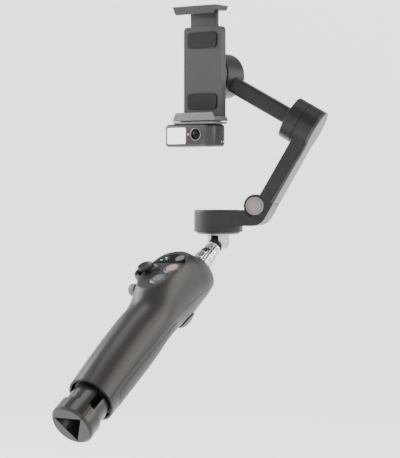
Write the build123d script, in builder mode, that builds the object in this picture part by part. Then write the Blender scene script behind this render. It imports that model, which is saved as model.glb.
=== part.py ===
"""Folding three-axis phone gimbal with a telescopic rod and a built-in tripod, in millimetres.

The origin is the middle of the grip, on the handle's axis. +Z runs along the pan axis, and the
phone's screen faces -Y. The handle leans away from the pan axis, towards -Y, by LEAN.
These planes carry everything:
  HANDLE  along the handle's axis, with the rod hinge at its origin, thumb side towards -Y
  SIDE    the handle's middle plane, drawn as (depth, height) of HANDLE
  PANEL   the flat that carries the controls, drawn as (width, height)
  HEAD    upright, with the rod hinge at its origin
  ARMS    upright through the pan axis and the two arms, drawn as (reach, height) of HEAD
  LONG_ARM  along the long arm from the fold pivot, drawn as (along, across)
"""
import os
from math import cos, radians, sin

from build123d import *

# ---- driving dimensions -------------------------------------------------------------------
LEAN = 55.6               # handle's lean from the pan axis, degrees
GRIP_TO_HINGE = 135.0     # middle of the grip to the rod hinge
ARM_HEADING = 22.0        # arms' heading from +X about the pan axis, degrees

WALL = 1.6                # handle casing
FIT = 0.05                # radial clearance of a shaft in its hole
GAP = 0.3                 # clearance between parts that move past each other

# Handle casing: height on the axis, half width, reach to the trigger side, reach to the thumb side
CASING_SECTIONS = [
    (-30.0, 10.5, 10.5, 12.0),
    (-43.0, 16.0, 17.5, 23.5),
    (-56.0, 17.3, 20.0, 37.0),
    (-74.0, 17.5, 20.5, 39.0),
    (-88.0, 17.3, 17.5, 33.0),
    (-103.0, 17.2, 16.0, 24.3),
    (-125.0, 17.4, 17.6, 23.4),
    (-160.0, 17.4, 18.0, 21.7),
    (-188.0, 17.3, 17.6, 19.0),
]
TOP_Z = CASING_SECTIONS[0][0]
MOUTH_Z = CASING_SECTIONS[-1][0]
# Seam between the two casing halves: depth, height
SEAM = [(12.0, -27.0), (7.0, -52.0), (1.5, -79.0), (-2.6, -122.0), (-3.6, -152.0), (-2.6, -191.0)]
PAD_MARGIN = 3.4          # palm pad's edge from the seam
PAD_TOP_Z = -91.6
PAD_LOW_Z = -178.6
# Hollow of the handle, from the mouth up
MOUTH_CAVITY_R = 15.6
GRIP_CAVITY_R = 15.2
HEAD_CAVITY_SIZE = (15.2, 17.8)
BOARD_BAY_HALF_WIDTH = 14.2
GRIP_CAVITY_LOW = -158.0
HEAD_CAVITY_LOW = -97.0
HEAD_CAVITY_TOP = -48.0

# Thumb panel: a flat that leans a little from the handle's axis
PANEL_TOP = (0.0, -24.0, -50.0)
PANEL_LEAN = 4.76
COLLAR = 0.8              # button collars above the panel
JOYSTICK_AT = (-11.5, -23.5)
JOYSTICK_WELL_R = 7.8
JOYSTICK_PIVOT = -5.0     # below the panel
JOYSTICK_CAP_R = 6.1
JOYSTICK_CAP_LOW = 2.7
JOYSTICK_CAP_HEIGHT = 2.8
CUP_DEPTH = 8.4
CUP_R = 8.6
CUP_RIM = 0.6             # cup's rim above the panel
FLANGE_DEPTH = 2.3        # wall over the buttons' flanges
POD_DEPTH = 11.0
RECORD_AT = (8.0, -18.8)
SWITCH_AT = (4.8, -33.0)
MODE_AT = (7.0, -5.4)
RECORD_R = 4.7
SWITCH_R = 4.4
MODE_R = 3.6
DISPLAY_HALF_WIDTH = 14.4
DISPLAY_LOW = -11.6
DISPLAY_RISE = 12.4
DISPLAY_THICKNESS = 0.8
BOARD_DEPTH = 11.2        # control board below the panel
BOARD_THICKNESS = 1.2
SCREWS_AT = [(-11.0, -4.0), (11.0, -4.0), (-11.0, -38.0), (11.0, -38.0)]
SCREW_R = 0.8
SCREW_GRIP = 1.8          # thread in the posts

# Zoom wheel on the side, trigger on the back
WHEEL_AT = (-14.2, -19.5, -87.8)
WHEEL_R = 4.6
WHEEL_AXLE_R = 1.4
WHEEL_THICKNESS = 5.4
TRIGGER_TOP_Z = -66.0
TRIGGER_LOW_Z = -84.0
TRIGGER_HALF_WIDTH = 13.6
TRIGGER_REACH = 21.4
TRIGGER_THICKNESS = 2.6
TRIGGER_PIVOT = (14.0, -69.0)      # depth, height
TRIGGER_CORNER = 6.5
USB_AT = (-9.8, -5.0, -100.0)

# Telescopic rod: outer radius, wall and rim height of each stage, largest first
STAGES = [(7.95, 0.5, -28.0), (7.4, 0.75, -21.4), (6.6, 0.55, -15.0), (6.0, 0.7, -8.6)]
STAGE_LOW = -91.5
ROD_TUBE_R = 9.0
ROD_TUBE_LOW = -94.0
BATTERY_R = 9.1
BATTERY_LENGTH = 65.0

# Tripod
LEG_R = 14.3
LEG_INNER_R = 9.5
LEG_PIVOT = (10.5, -190.8)         # distance from the axis, height
LEG_TOP_Z = -188.4
LEG_HALF_SPAN = 48.5      # degrees either side of the leg's middle
LEG_HEADINGS = [30.0, 150.0, 270.0]
KNUCKLE_R = 2.4
KNUCKLE_HALF_WIDTH = 3.0
EAR_WIDTH = 1.8
FOOT_TOP_Z = -203.0
FOOT_LOW_Z = -215.0
FOOT_R = 16.1
WELL_INRADIUS = 6.6
HUB_CORE_R = 6.4
HUB_LOW_Z = -200.0
THREAD_R = 2.6            # quarter-inch camera thread, minor radius
THREAD_LENGTH = 8.0

# Pan motor, heights above the hinge
PAN_R = 18.5
PAN_LOW = 7.6
PAN_TOP = 24.3
FORK_WIDTH = 13.2
FORK_DEPTH = 10.6
TONGUE_WIDTH = 6.2
HINGE_PIN_R = 1.9
ROD_HEAD_R = 4.8

# Arms
ARM_WIDTH = 28.0
LOWER_ARM_LOW = 12.1
LOWER_ARM_TOP = 24.1
ELBOW = (31.0, 27.3)      # fold pivot: reach, height
BARREL_R = 8.65
BARREL_HALF_WIDTH = 11.0
PIVOT_R = 4.0
ELBOW_R = 11.2
ELBOW_BACK = 4.5          # elbow curve's centre, back from the pivot along the long arm
ELBOW_SPLIT = -52.0       # where the lower arm's elbow ends, degrees about the pivot
LONG_ARM_LEAN = 30.0      # from the pan axis, degrees
LONG_ARM_INNER = -0.9     # faces of the long arm, measured across it from the pivot
LONG_ARM_OUTER = 11.2
COVER_THICKNESS = 2.3
TILT_ALONG = 69.9         # tilt motor's axis along the long arm
TILT_SEAM = -2.9          # seam between the tilt motor's halves, across the long arm
TILT_R = 16.4
TILT_INNER_DEPTH = 10.2
SECOND_ARM_THICKNESS = 12.4
SECOND_ARM_WIDTH = 18.0
SHAFT_R = 3.0
BEARING_R = 7.0
FOLD_CAP_R = 7.0
FOLD_CAP_HEIGHT = 1.0
WAIST_HALF_WIDTH = 12.2

# Roll motor and clamp: depths from the pan axis, heights above the hinge
ROLL_Z = 125.9
ROLL_R = 17.0
ROLL_BACK = 10.0
ROLL_FRONT = -11.7
PLATE_FRONT = -15.2
PHONE_BACK = -22.3
PHONE_THICKNESS = 8.25
PHONE_LOW = 94.6
PHONE_WIDTH = 77.6
JAW_FRONT = -33.0
JAW_HALF_WIDTH = 19.3
LIP_HALF_WIDTH = 16.4
JAW_OVERLAP = 2.3
JAW_THICKNESS = 3.4
PAD = 0.6
CLAMP_HALF_WIDTH = 17.0
TONGUE_HALF_WIDTH = 12.0

# Camera module under the lower jaw
MODULE_SIDES = (-26.8, 16.2)
MODULE_DEPTHS = (-33.2, -12.4)
MODULE_HEIGHTS = (71.5, 87.8)
LENS_AT = (2.4, 80.6)
LENS_R = 3.8
LAMP_WIDTH = 18.0
LAMP_HEIGHT = 12.8

# ---- planes -------------------------------------------------------------------------------
HINGE = (0.0, GRIP_TO_HINGE * sin(radians(LEAN)), GRIP_TO_HINGE * cos(radians(LEAN)))
HANDLE = Plane(origin=HINGE, x_dir=(1, 0, 0), z_dir=(0, sin(radians(LEAN)), cos(radians(LEAN))))
HEAD = Plane(origin=HINGE, x_dir=(1, 0, 0), z_dir=(0, 0, 1))


def at(plane, place, turn=(0, 0, 0)):
    """A plane at a place on another plane, turned about its own axes."""
    return Plane(plane.location * Location(place, turn))


SIDE = at(HANDLE, (0, 0, 0), (90, 90, 0))
PANEL = at(HANDLE, PANEL_TOP, (90 - PANEL_LEAN, 0, 0))
WHEEL = at(HANDLE, WHEEL_AT, (0, -90, 0))
USB = at(HANDLE, USB_AT, (0, -90, 0))
TRIGGER_FACE = at(HANDLE, (0, 9.0, (TRIGGER_TOP_Z + TRIGGER_LOW_Z) / 2), (-90, 0, 0))
ACROSS = at(HEAD, (0, 0, 0), (90, 90, 0))            # (depth, height), normal along +X
FACING = at(HEAD, (0, 0, 0), (90, 0, 0))             # (width, height), normal along -Y
ARMS = at(HEAD, (0, 0, 0), (90, ARM_HEADING, 0))
LONG_ARM = at(ARMS, (*ELBOW, 0), (180, 0, LONG_ARM_LEAN - 90))
TILT_AXIS = at(LONG_ARM, (TILT_ALONG, TILT_SEAM, 0), (90, 0, 0))
TOP_FACE = at(LONG_ARM, (0, LONG_ARM_OUTER - COVER_THICKNESS, 0), (-90, 0, 0))

os.makedirs("parts", exist_ok=True)


def keep(name, piece):
    """Label a finished piece and write it."""
    piece.part.label = name
    export_step(piece.part, f"parts/{name}.step")


# ---- handle casing ------------------------------------------------------------------------
with BuildPart() as trigger_half:
    with BuildSketch(SIDE):
        with BuildLine():
            seam = Polyline(*SEAM)
            Polyline(seam @ 1, (60, SEAM[-1][1]), (60, SEAM[0][1]), seam @ 0)
        make_face()
    extrude(amount=60, both=True)

# The palm pad fills a window that wraps round the front cover
with BuildPart() as pad_region:
    with BuildSketch(SIDE):
        with BuildLine():
            pad_seam = Polyline(*[(depth + PAD_MARGIN, height) for depth, height in SEAM])
            Polyline(pad_seam @ 1, (60, SEAM[-1][1]), (60, SEAM[0][1]), pad_seam @ 0)
        make_face()
        with Locations((0, (PAD_TOP_Z + PAD_LOW_Z) / 2)):
            Rectangle(130, PAD_TOP_Z - PAD_LOW_Z, mode=Mode.INTERSECT)
    extrude(amount=60, both=True)

with BuildPart() as outer_form:
    for z, half_width, trigger_side, thumb_side in CASING_SECTIONS:
        with BuildSketch(HANDLE.offset(z)):
            with Locations((0, (trigger_side - thumb_side) / 2)):
                Ellipse((trigger_side + thumb_side) / 2, half_width, rotation=90)
    loft(ruled=True)
    split(bisect_by=PANEL, keep=Keep.BOTTOM)

with BuildPart() as cavity:
    with BuildSketch(HANDLE.offset(MOUTH_Z - 1)):
        Circle(MOUTH_CAVITY_R)
    extrude(amount=GRIP_CAVITY_LOW - MOUTH_Z + 1)
    with BuildSketch(HANDLE.offset(GRIP_CAVITY_LOW)):
        with Locations((0, -1.2)):
            Circle(GRIP_CAVITY_R)
    extrude(amount=HEAD_CAVITY_LOW - GRIP_CAVITY_LOW)
    with BuildSketch(HANDLE.offset(HEAD_CAVITY_LOW)):
        with Locations((0, -4.6)):
            Ellipse(*HEAD_CAVITY_SIZE)
        with Locations((0, -11.0)):
            RectangleRounded(2 * BOARD_BAY_HALF_WIDTH, 18.0, 6.0)
    extrude(amount=HEAD_CAVITY_TOP - HEAD_CAVITY_LOW)
    with BuildSketch(HANDLE.offset(TOP_Z + 1)):
        Circle(ROD_TUBE_R)
    extrude(amount=HEAD_CAVITY_TOP - TOP_Z - 2)


BUTTONS = {
    "record_button": (RECORD_AT, RECORD_R),
    "switch_button": (SWITCH_AT, SWITCH_R),
    "mode_button": (MODE_AT, MODE_R),
}
COLLARED = ["record_button", "switch_button"]

with BuildSketch(PANEL) as display_outline:
    with BuildLine():
        chord = Line((-DISPLAY_HALF_WIDTH, DISPLAY_LOW), (DISPLAY_HALF_WIDTH, DISPLAY_LOW))
        ThreePointArc(chord @ 1, (0, DISPLAY_LOW + DISPLAY_RISE), chord @ 0)
    make_face()

with BuildPart() as rear_shell:
    add(outer_form.part)
    add(trigger_half.part, mode=Mode.SUBTRACT)
    add(cavity.part, mode=Mode.SUBTRACT)
    with BuildSketch(PANEL):
        with Locations(JOYSTICK_AT):
            Circle(JOYSTICK_WELL_R + 2.2)
    extrude(amount=-POD_DEPTH, taper=4)
    # Posts that the control board is screwed to
    with BuildSketch(PANEL.offset(-BOARD_DEPTH)):
        with Locations(*SCREWS_AT):
            Circle(2.0)
    extrude(amount=BOARD_DEPTH - WALL)
    with BuildSketch(PANEL.offset(-BOARD_DEPTH)):
        with Locations(*SCREWS_AT):
            Circle(SCREW_R)
    extrude(amount=SCREW_GRIP, mode=Mode.SUBTRACT)
    for name in COLLARED:
        place, radius = BUTTONS[name]
        with BuildSketch(PANEL.offset(-WALL)):
            with Locations(place):
                Circle(radius + 1.6)
        extrude(amount=WALL + COLLAR, taper=8)
    with BuildSketch(PANEL.offset(COLLAR)):
        with Locations(JOYSTICK_AT):
            Circle(JOYSTICK_WELL_R - 0.8)
        with Locations(RECORD_AT):
            Circle(RECORD_R + 0.2)
        with Locations(SWITCH_AT):
            Circle(SWITCH_R + 0.2)
    extrude(amount=-BOARD_DEPTH - GAP - COLLAR, mode=Mode.SUBTRACT)
    with BuildSketch(PANEL.offset(COLLAR)):
        with Locations(JOYSTICK_AT):
            Circle(CUP_R)
    extrude(amount=-CUP_DEPTH - COLLAR + CUP_RIM, mode=Mode.SUBTRACT)
    with BuildSketch(PANEL.offset(-FLANGE_DEPTH)):
        for place, radius in BUTTONS.values():
            with Locations(place):
                Circle(radius + 0.9)
    extrude(amount=FLANGE_DEPTH - POD_DEPTH, mode=Mode.SUBTRACT)
    with BuildSketch(PANEL):
        with Locations(MODE_AT):
            Circle(MODE_R + 0.2)
    extrude(amount=-FLANGE_DEPTH, mode=Mode.SUBTRACT)
    extrude(display_outline.sketch, amount=-DISPLAY_THICKNESS, mode=Mode.SUBTRACT)
    with BuildSketch(WHEEL.offset(-GAP)):
        Circle(WHEEL_R + GAP)
    extrude(amount=12, mode=Mode.SUBTRACT)
    with BuildSketch(WHEEL):
        Circle(WHEEL_AXLE_R + FIT)
    extrude(amount=-4.2, mode=Mode.SUBTRACT)
    with BuildSketch(USB):
        SlotOverall(9.4, 3.6)
    extrude(amount=20, mode=Mode.SUBTRACT)
keep("rear_shell", rear_shell)

with BuildPart() as palm_pad:
    add(outer_form.part)
    add(pad_region.part, mode=Mode.INTERSECT)
    add(cavity.part, mode=Mode.SUBTRACT)
keep("palm_pad", palm_pad)

with BuildPart() as front_cover:
    add(outer_form.part)
    add(trigger_half.part, mode=Mode.INTERSECT)
    add(pad_region.part, mode=Mode.SUBTRACT)
    add(cavity.part, mode=Mode.SUBTRACT)
    with BuildSketch(TRIGGER_FACE):
        RectangleRounded(
            2 * (TRIGGER_HALF_WIDTH + GAP), TRIGGER_TOP_Z - TRIGGER_LOW_Z + 2 * GAP, TRIGGER_CORNER + GAP
        )
    extrude(amount=30, mode=Mode.SUBTRACT)
    # Ribs that carry the trigger's pin
    for side in (-1, 1):
        with BuildSketch(SIDE.offset(side * 4.6)):
            with Locations((TRIGGER_PIVOT[0] + 1.8, TRIGGER_PIVOT[1] + 4.0)):
                SlotOverall(13.2, 4.4, rotation=66)
            with Locations(TRIGGER_PIVOT):
                Circle(1.2, mode=Mode.SUBTRACT)
        extrude(amount=0.8, both=True)
keep("front_cover", front_cover)

# ---- thumb panel --------------------------------------------------------------------------
with BuildPart() as status_display:
    extrude(display_outline.sketch, amount=-DISPLAY_THICKNESS)
    with BuildSketch(PANEL):
        with Locations(MODE_AT):
            Circle(MODE_R + 0.2)
        with Locations(RECORD_AT):
            Circle(RECORD_R + 1.8)
    extrude(amount=-DISPLAY_THICKNESS, mode=Mode.SUBTRACT)
keep("status_display", status_display)

for name, (place, radius) in BUTTONS.items():
    with BuildPart() as button:
        with BuildSketch(PANEL.offset(-3.2)):
            with Locations(place):
                Circle(radius + 0.7)
        extrude(amount=0.8)
        with BuildSketch(PANEL.offset(-3.2)):
            with Locations(place):
                Circle(radius)
        extrude(amount=4.1)
        rims = button.edges().filter_by(GeomType.CIRCLE)
        fillet(rims.sort_by(lambda rim: PANEL.to_local_coords(rim.center()).Z)[-1], 0.5)
    keep(name, button)

JOYSTICK = at(PANEL, (*JOYSTICK_AT, JOYSTICK_PIVOT))
with BuildPart() as control_board:
    with BuildSketch(PANEL.offset(-BOARD_DEPTH)):
        with Locations((0, -21)):
            RectangleRounded(26, 40, 3)
        with Locations(*SCREWS_AT):
            Circle(SCREW_R, mode=Mode.SUBTRACT)
    extrude(amount=-BOARD_THICKNESS)
    # Switches under the buttons, and the joystick's base with its two uprights
    with BuildSketch(PANEL.offset(-BOARD_DEPTH)):
        for place, _ in BUTTONS.values():
            with Locations(place):
                Rectangle(4.2, 4.2)
    extrude(amount=BOARD_DEPTH - 4.0)
    with BuildSketch(PANEL.offset(-BOARD_DEPTH)):
        with Locations(JOYSTICK_AT):
            Rectangle(10.6, 8.0)
    extrude(amount=1.2)
    with BuildSketch(PANEL.offset(-BOARD_DEPTH)):
        with Locations(JOYSTICK_AT):
            with Locations((4.75, 0), (-4.75, 0)):
                Rectangle(1.1, 3.0)
    extrude(amount=BOARD_DEPTH + JOYSTICK_PIVOT + 1.2)
    with BuildSketch(at(JOYSTICK, (0, 0, 0), (0, 90, 0))):
        Circle(0.7 + FIT)
    extrude(amount=8, both=True, mode=Mode.SUBTRACT)
keep("control_board", control_board)

with BuildPart(at(PANEL, (*JOYSTICK_AT, CUP_RIM))) as joystick_cup:
    with Locations((0, 0, -CUP_DEPTH / 2)):
        Cylinder(CUP_R, CUP_DEPTH)
    with Locations((0, 0, -(CUP_DEPTH - 0.8) / 2)):
        Cylinder(JOYSTICK_WELL_R, CUP_DEPTH - 0.8, mode=Mode.SUBTRACT)
    Cylinder(5.6, 30, mode=Mode.SUBTRACT)
keep("joystick_cup", joystick_cup)

with BuildPart(JOYSTICK) as joystick_yoke:
    Cylinder(3.8, 2.2)
    Cylinder(2.7, 2.2, mode=Mode.SUBTRACT)
    with Locations(Location((4.4, 0, 0), (0, 90, 0)), Location((-4.4, 0, 0), (0, 90, 0))):
        Cylinder(0.7, 1.6)
    with Locations(Location((0, 0, 0), (90, 0, 0))):
        Cylinder(0.7 + FIT, 20, mode=Mode.SUBTRACT)
keep("joystick_yoke", joystick_yoke)

CAP_MIDDLE = -JOYSTICK_PIVOT + JOYSTICK_CAP_LOW + JOYSTICK_CAP_HEIGHT / 2
with BuildPart(JOYSTICK) as joystick_cap:
    Cylinder(2.2, 2.2)
    with Locations(Location((0, 0, 0), (90, 0, 0))):
        Cylinder(0.7, 7.2)
    with Locations((0, 0, CAP_MIDDLE / 2)):
        Cylinder(1.8, CAP_MIDDLE)
    with Locations((0, 0, CAP_MIDDLE)):
        Cylinder(JOYSTICK_CAP_R, JOYSTICK_CAP_HEIGHT)
    top_rim = joystick_cap.edges().sort_by(lambda rim: JOYSTICK.to_local_coords(rim.center()).Z)[-1]
    fillet(top_rim, 0.8)
    with Locations((0, 0, CAP_MIDDLE + JOYSTICK_CAP_HEIGHT / 2 + 10.0)):
        Sphere(10.9, mode=Mode.SUBTRACT)
    with PolarLocations(JOYSTICK_CAP_R + 0.1, 16):
        with Locations((0, 0, CAP_MIDDLE)):
            Cylinder(0.55, JOYSTICK_CAP_HEIGHT + 1, mode=Mode.SUBTRACT)
keep("joystick_cap", joystick_cap)

# ---- zoom wheel ---------------------------------------------------------------------------
with BuildPart(WHEEL) as zoom_wheel:
    with Locations((0, 0, WHEEL_THICKNESS / 2)):
        Cylinder(WHEEL_R, WHEEL_THICKNESS)
    fillet(zoom_wheel.edges().filter_by(GeomType.CIRCLE), 0.7)
    with Locations((0, 0, -1.5)):
        Cylinder(WHEEL_AXLE_R, 4.0)
    with PolarLocations(WHEEL_R + 0.15, 18):
        with Locations((0, 0, WHEEL_THICKNESS / 2)):
            Cylinder(0.45, WHEEL_THICKNESS + 1, mode=Mode.SUBTRACT)
keep("zoom_wheel", zoom_wheel)

# ---- trigger ------------------------------------------------------------------------------
with BuildPart() as trigger:
    with BuildSketch(HANDLE.offset(TRIGGER_TOP_Z)):
        Ellipse(CASING_SECTIONS[3][1] + 0.9, TRIGGER_REACH)
        Ellipse(
            CASING_SECTIONS[3][1] + 0.9 - TRIGGER_THICKNESS, TRIGGER_REACH - TRIGGER_THICKNESS,
            mode=Mode.SUBTRACT
        )
    extrude(amount=TRIGGER_LOW_Z - TRIGGER_TOP_Z)
    with BuildSketch(TRIGGER_FACE):
        RectangleRounded(2 * TRIGGER_HALF_WIDTH, TRIGGER_TOP_Z - TRIGGER_LOW_Z, TRIGGER_CORNER)
    extrude(amount=30, mode=Mode.INTERSECT)
    with BuildSketch(SIDE):
        with Locations(TRIGGER_PIVOT):
            Circle(2.1)
        with Locations((TRIGGER_PIVOT[0] + 2.7, TRIGGER_PIVOT[1])):
            Rectangle(5.4, 4.2)
        with Locations(TRIGGER_PIVOT):
            Circle(1.2 + FIT, mode=Mode.SUBTRACT)
    extrude(amount=3, both=True)
keep("trigger", trigger)

with BuildPart() as trigger_pin:
    with BuildSketch(SIDE):
        with Locations(TRIGGER_PIVOT):
            Circle(1.2)
    extrude(amount=7, both=True)
keep("trigger_pin", trigger_pin)

# ---- inside the handle --------------------------------------------------------------------
with BuildPart() as rod_tube:
    with BuildSketch(HANDLE.offset(TOP_Z + 0.6)):
        Circle(ROD_TUBE_R)
    extrude(amount=ROD_TUBE_LOW - TOP_Z)
    with BuildSketch(HANDLE.offset(TOP_Z + 0.6)):
        Circle(STAGES[0][0] + FIT)
    extrude(amount=STAGE_LOW - TOP_Z - 1.2, mode=Mode.SUBTRACT)
keep("rod_tube", rod_tube)

BATTERY_TOP_Z = ROD_TUBE_LOW - 2.0
with BuildPart() as battery:
    with BuildSketch(HANDLE.offset(BATTERY_TOP_Z)):
        Circle(BATTERY_R)
    extrude(amount=-BATTERY_LENGTH)
    fillet(battery.edges().filter_by(GeomType.CIRCLE), 0.8)
keep("battery", battery)

with BuildPart() as battery_cradle:
    for z in (BATTERY_TOP_Z - 12, BATTERY_TOP_Z - BATTERY_LENGTH + 12):
        with BuildSketch(HANDLE.offset(z)):
            with Locations((0, -1.2)):
                Circle(GRIP_CAVITY_R)
            Circle(BATTERY_R, mode=Mode.SUBTRACT)
        extrude(amount=2.4, both=True)
    with BuildSketch(HANDLE.offset(BATTERY_TOP_Z - 12)):
        with Locations((12.4, 0), (-12.4, 0)):
            Rectangle(3, 8)
    extrude(amount=-BATTERY_LENGTH + 24)
keep("battery_cradle", battery_cradle)

with BuildPart() as usb_socket:
    with BuildSketch(USB):
        SlotOverall(9.4, 3.6)
        SlotOverall(8.6, 2.8, mode=Mode.SUBTRACT)
    extrude(amount=7.0)
    with BuildSketch(USB):
        SlotOverall(9.4, 3.6)
    extrude(amount=1.0)
keep("usb_socket", usb_socket)

GUIDE_TOP_Z = -162.5
GUIDE_LOW_Z = -185.2
with BuildPart() as tripod_guide:
    with BuildSketch(HANDLE.offset(GUIDE_LOW_Z)):
        Circle(MOUTH_CAVITY_R)
        Circle(LEG_R + FIT, mode=Mode.SUBTRACT)
    extrude(amount=GUIDE_TOP_Z - GUIDE_LOW_Z)
keep("tripod_guide", tripod_guide)

with BuildPart() as board_screws:
    with BuildSketch(PANEL.offset(-BOARD_DEPTH - BOARD_THICKNESS)):
        with Locations(*SCREWS_AT):
            Circle(1.4)
    extrude(amount=-0.9)
    with BuildSketch(PANEL.offset(-BOARD_DEPTH - BOARD_THICKNESS)):
        with Locations(*SCREWS_AT):
            Circle(SCREW_R)
    extrude(amount=BOARD_THICKNESS + SCREW_GRIP)
keep("board_screws", board_screws)

# ---- telescopic rod -----------------------------------------------------------------------
for number, (radius, wall, rim) in enumerate(STAGES, start=1):
    with BuildPart() as rod_stage:
        with BuildSketch(HANDLE.offset(rim)):
            Circle(radius)
        extrude(amount=STAGE_LOW + number - rim)
        fillet(rod_stage.edges().sort_by(Axis(HANDLE.origin, HANDLE.z_dir))[-1], 0.25)
        with BuildSketch(HANDLE.offset(rim)):
            Circle(radius - wall)
        extrude(amount=STAGE_LOW + number - rim, mode=Mode.SUBTRACT)
    keep(f"rod_stage_{number}", rod_stage)

HEAD_LOW_Z = STAGES[-1][2] - 8.0
with BuildPart() as rod_head:
    with BuildSketch(HANDLE.offset(HEAD_LOW_Z)):
        Circle(STAGES[-1][0] - STAGES[-1][1])
    extrude(amount=8.0)
    with BuildSketch(HANDLE.offset(STAGES[-1][2])):
        Circle(ROD_HEAD_R)
    extrude(amount=2.8)
    with BuildSketch(SIDE):
        Circle(ROD_HEAD_R)
        with Locations((0, -3.5)):
            Rectangle(2 * ROD_HEAD_R, 7.0)
        Circle(HINGE_PIN_R + FIT, mode=Mode.SUBTRACT)
    extrude(amount=TONGUE_WIDTH / 2, both=True)
keep("rod_head", rod_head)

# ---- tripod -------------------------------------------------------------------------------
HUB_DISC_LOW = -185.8
HUB_DISC_TOP = -177.8
pivot_r, pivot_z = LEG_PIVOT
with BuildPart() as tripod_hub:
    with BuildSketch(HANDLE.offset(HUB_DISC_LOW)):
        Circle(LEG_R)
    extrude(amount=HUB_DISC_TOP - HUB_DISC_LOW)
    with BuildSketch(HANDLE.offset(HUB_LOW_Z)):
        Circle(HUB_CORE_R)
    extrude(amount=HUB_DISC_LOW - HUB_LOW_Z)
    for heading in LEG_HEADINGS:
        leg_side = at(HANDLE, (0, 0, 0), (90, heading, 0))
        for side in (-1, 1):
            ear_middle = side * (KNUCKLE_HALF_WIDTH + 0.25 + EAR_WIDTH / 2)
            with BuildSketch(leg_side.offset(ear_middle)):
                with Locations(LEG_PIVOT):
                    Circle(KNUCKLE_R)
                with Locations((pivot_r - 2.6, pivot_z)):
                    Rectangle(5.2, 2 * KNUCKLE_R)
                with Locations((pivot_r - 3.4, (pivot_z + HUB_DISC_LOW) / 2)):
                    Rectangle(4.4, HUB_DISC_LOW - pivot_z)
                with Locations(LEG_PIVOT):
                    Circle(1.0, mode=Mode.SUBTRACT)
            extrude(amount=EAR_WIDTH / 2, both=True)
    with BuildSketch(HANDLE.offset(HUB_LOW_Z)):
        Circle(4.4)
    extrude(amount=THREAD_LENGTH, mode=Mode.SUBTRACT)
keep("tripod_hub", tripod_hub)

with BuildPart() as thread_insert:
    with BuildSketch(HANDLE.offset(HUB_LOW_Z)):
        Circle(4.4)
        Circle(THREAD_R, mode=Mode.SUBTRACT)
    extrude(amount=THREAD_LENGTH)
keep("thread_insert", thread_insert)

with BuildPart() as leg_pins:
    for heading in LEG_HEADINGS:
        leg_side = at(HANDLE, (0, 0, 0), (90, heading, 0))
        with BuildSketch(leg_side):
            with Locations(LEG_PIVOT):
                Circle(1.0)
        extrude(amount=KNUCKLE_HALF_WIDTH + 0.25 + EAR_WIDTH, both=True)
keep("leg_pins", leg_pins)

for number, heading in enumerate(LEG_HEADINGS, start=1):
    leg_side = at(HANDLE, (0, 0, 0), (90, heading, 0))
    turned = at(HANDLE, (0, 0, 0), (0, 0, heading))
    with BuildPart() as leg:
        # Tube segment between two radial slots
        with BuildSketch(turned.offset(FOOT_TOP_Z)):
            Circle(LEG_R)
            Circle(LEG_INNER_R, mode=Mode.SUBTRACT)
            with BuildLine():
                edge = PolarLine((0, 0), 30, LEG_HALF_SPAN)
                other = PolarLine((0, 0), 30, -LEG_HALF_SPAN)
                Line(edge @ 1, other @ 1)
            make_face(mode=Mode.INTERSECT)
        extrude(amount=LEG_TOP_Z - FOOT_TOP_Z)
        # Room for the hub's ears, then the knuckle on the pin
        with BuildSketch(leg_side):
            with Locations(((LEG_R + LEG_INNER_R) / 2 - 3.6, pivot_z + 0.5)):
                Rectangle(9.8, 9.2)
        extrude(amount=KNUCKLE_HALF_WIDTH + EAR_WIDTH + 0.6, both=True, mode=Mode.SUBTRACT)
        with BuildSketch(leg_side):
            with Locations(LEG_PIVOT):
                Circle(KNUCKLE_R)
            with Locations((pivot_r + 1.6, pivot_z - 2.4)):
                Rectangle(3.2, 4.8)
            with Locations(LEG_PIVOT):
                Circle(1.0 + FIT, mode=Mode.SUBTRACT)
        extrude(amount=KNUCKLE_HALF_WIDTH, both=True)
        # Foot: a third of the flange round the three-sided well
        with BuildSketch(turned.offset(FOOT_LOW_Z)):
            Circle(FOOT_R)
            with BuildLine():
                edge = PolarLine((0, 0), 40, 60 - 0.6)
                other = PolarLine((0, 0), 40, -60 + 0.6)
                Line(edge @ 1, other @ 1)
            make_face(mode=Mode.INTERSECT)
            with Locations((WELL_INRADIUS - 20, 0)):
                Rectangle(40, 60, mode=Mode.SUBTRACT)
        extrude(amount=FOOT_TOP_Z - FOOT_LOW_Z)
        rim = leg.edges().filter_by(GeomType.CIRCLE).group_by(Axis(HANDLE.origin, HANDLE.z_dir))[0]
        chamfer(rim, 1.6)
    keep(f"tripod_leg_{number}", leg)

# ---- rod hinge and pan motor --------------------------------------------------------------
with BuildPart() as pan_fork:
    with BuildSketch(HEAD.offset(5.6)):
        Circle(13.2)
    with BuildSketch(HEAD.offset(7.2)):
        Circle(14.6)
    loft()
    for side in (-1, 1):
        with BuildSketch(ACROSS.offset(side * (FORK_WIDTH / 2 + TONGUE_WIDTH / 2 + 0.2) / 2)):
            Circle(FORK_DEPTH / 2)
            with Locations((0, 3.0)):
                Rectangle(FORK_DEPTH, 6.0)
            Circle(HINGE_PIN_R, mode=Mode.SUBTRACT)
        extrude(amount=(FORK_WIDTH / 2 - TONGUE_WIDTH / 2 - 0.2) / 2, both=True)
keep("pan_fork", pan_fork)

with BuildPart() as hinge_pin:
    with BuildSketch(ACROSS):
        Circle(HINGE_PIN_R)
    extrude(amount=FORK_WIDTH / 2 - 0.3, both=True)
keep("hinge_pin", hinge_pin)

with BuildPart() as pan_ring:
    with BuildSketch(HEAD.offset(5.9)):
        Circle(15.4)
    with BuildSketch(HEAD.offset(7.3)):
        Circle(16.8)
    loft()
    with BuildSketch(HEAD.offset(5.0)):
        Circle(14.7)
    extrude(amount=3.0, mode=Mode.SUBTRACT)
keep("pan_ring", pan_ring)

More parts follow.
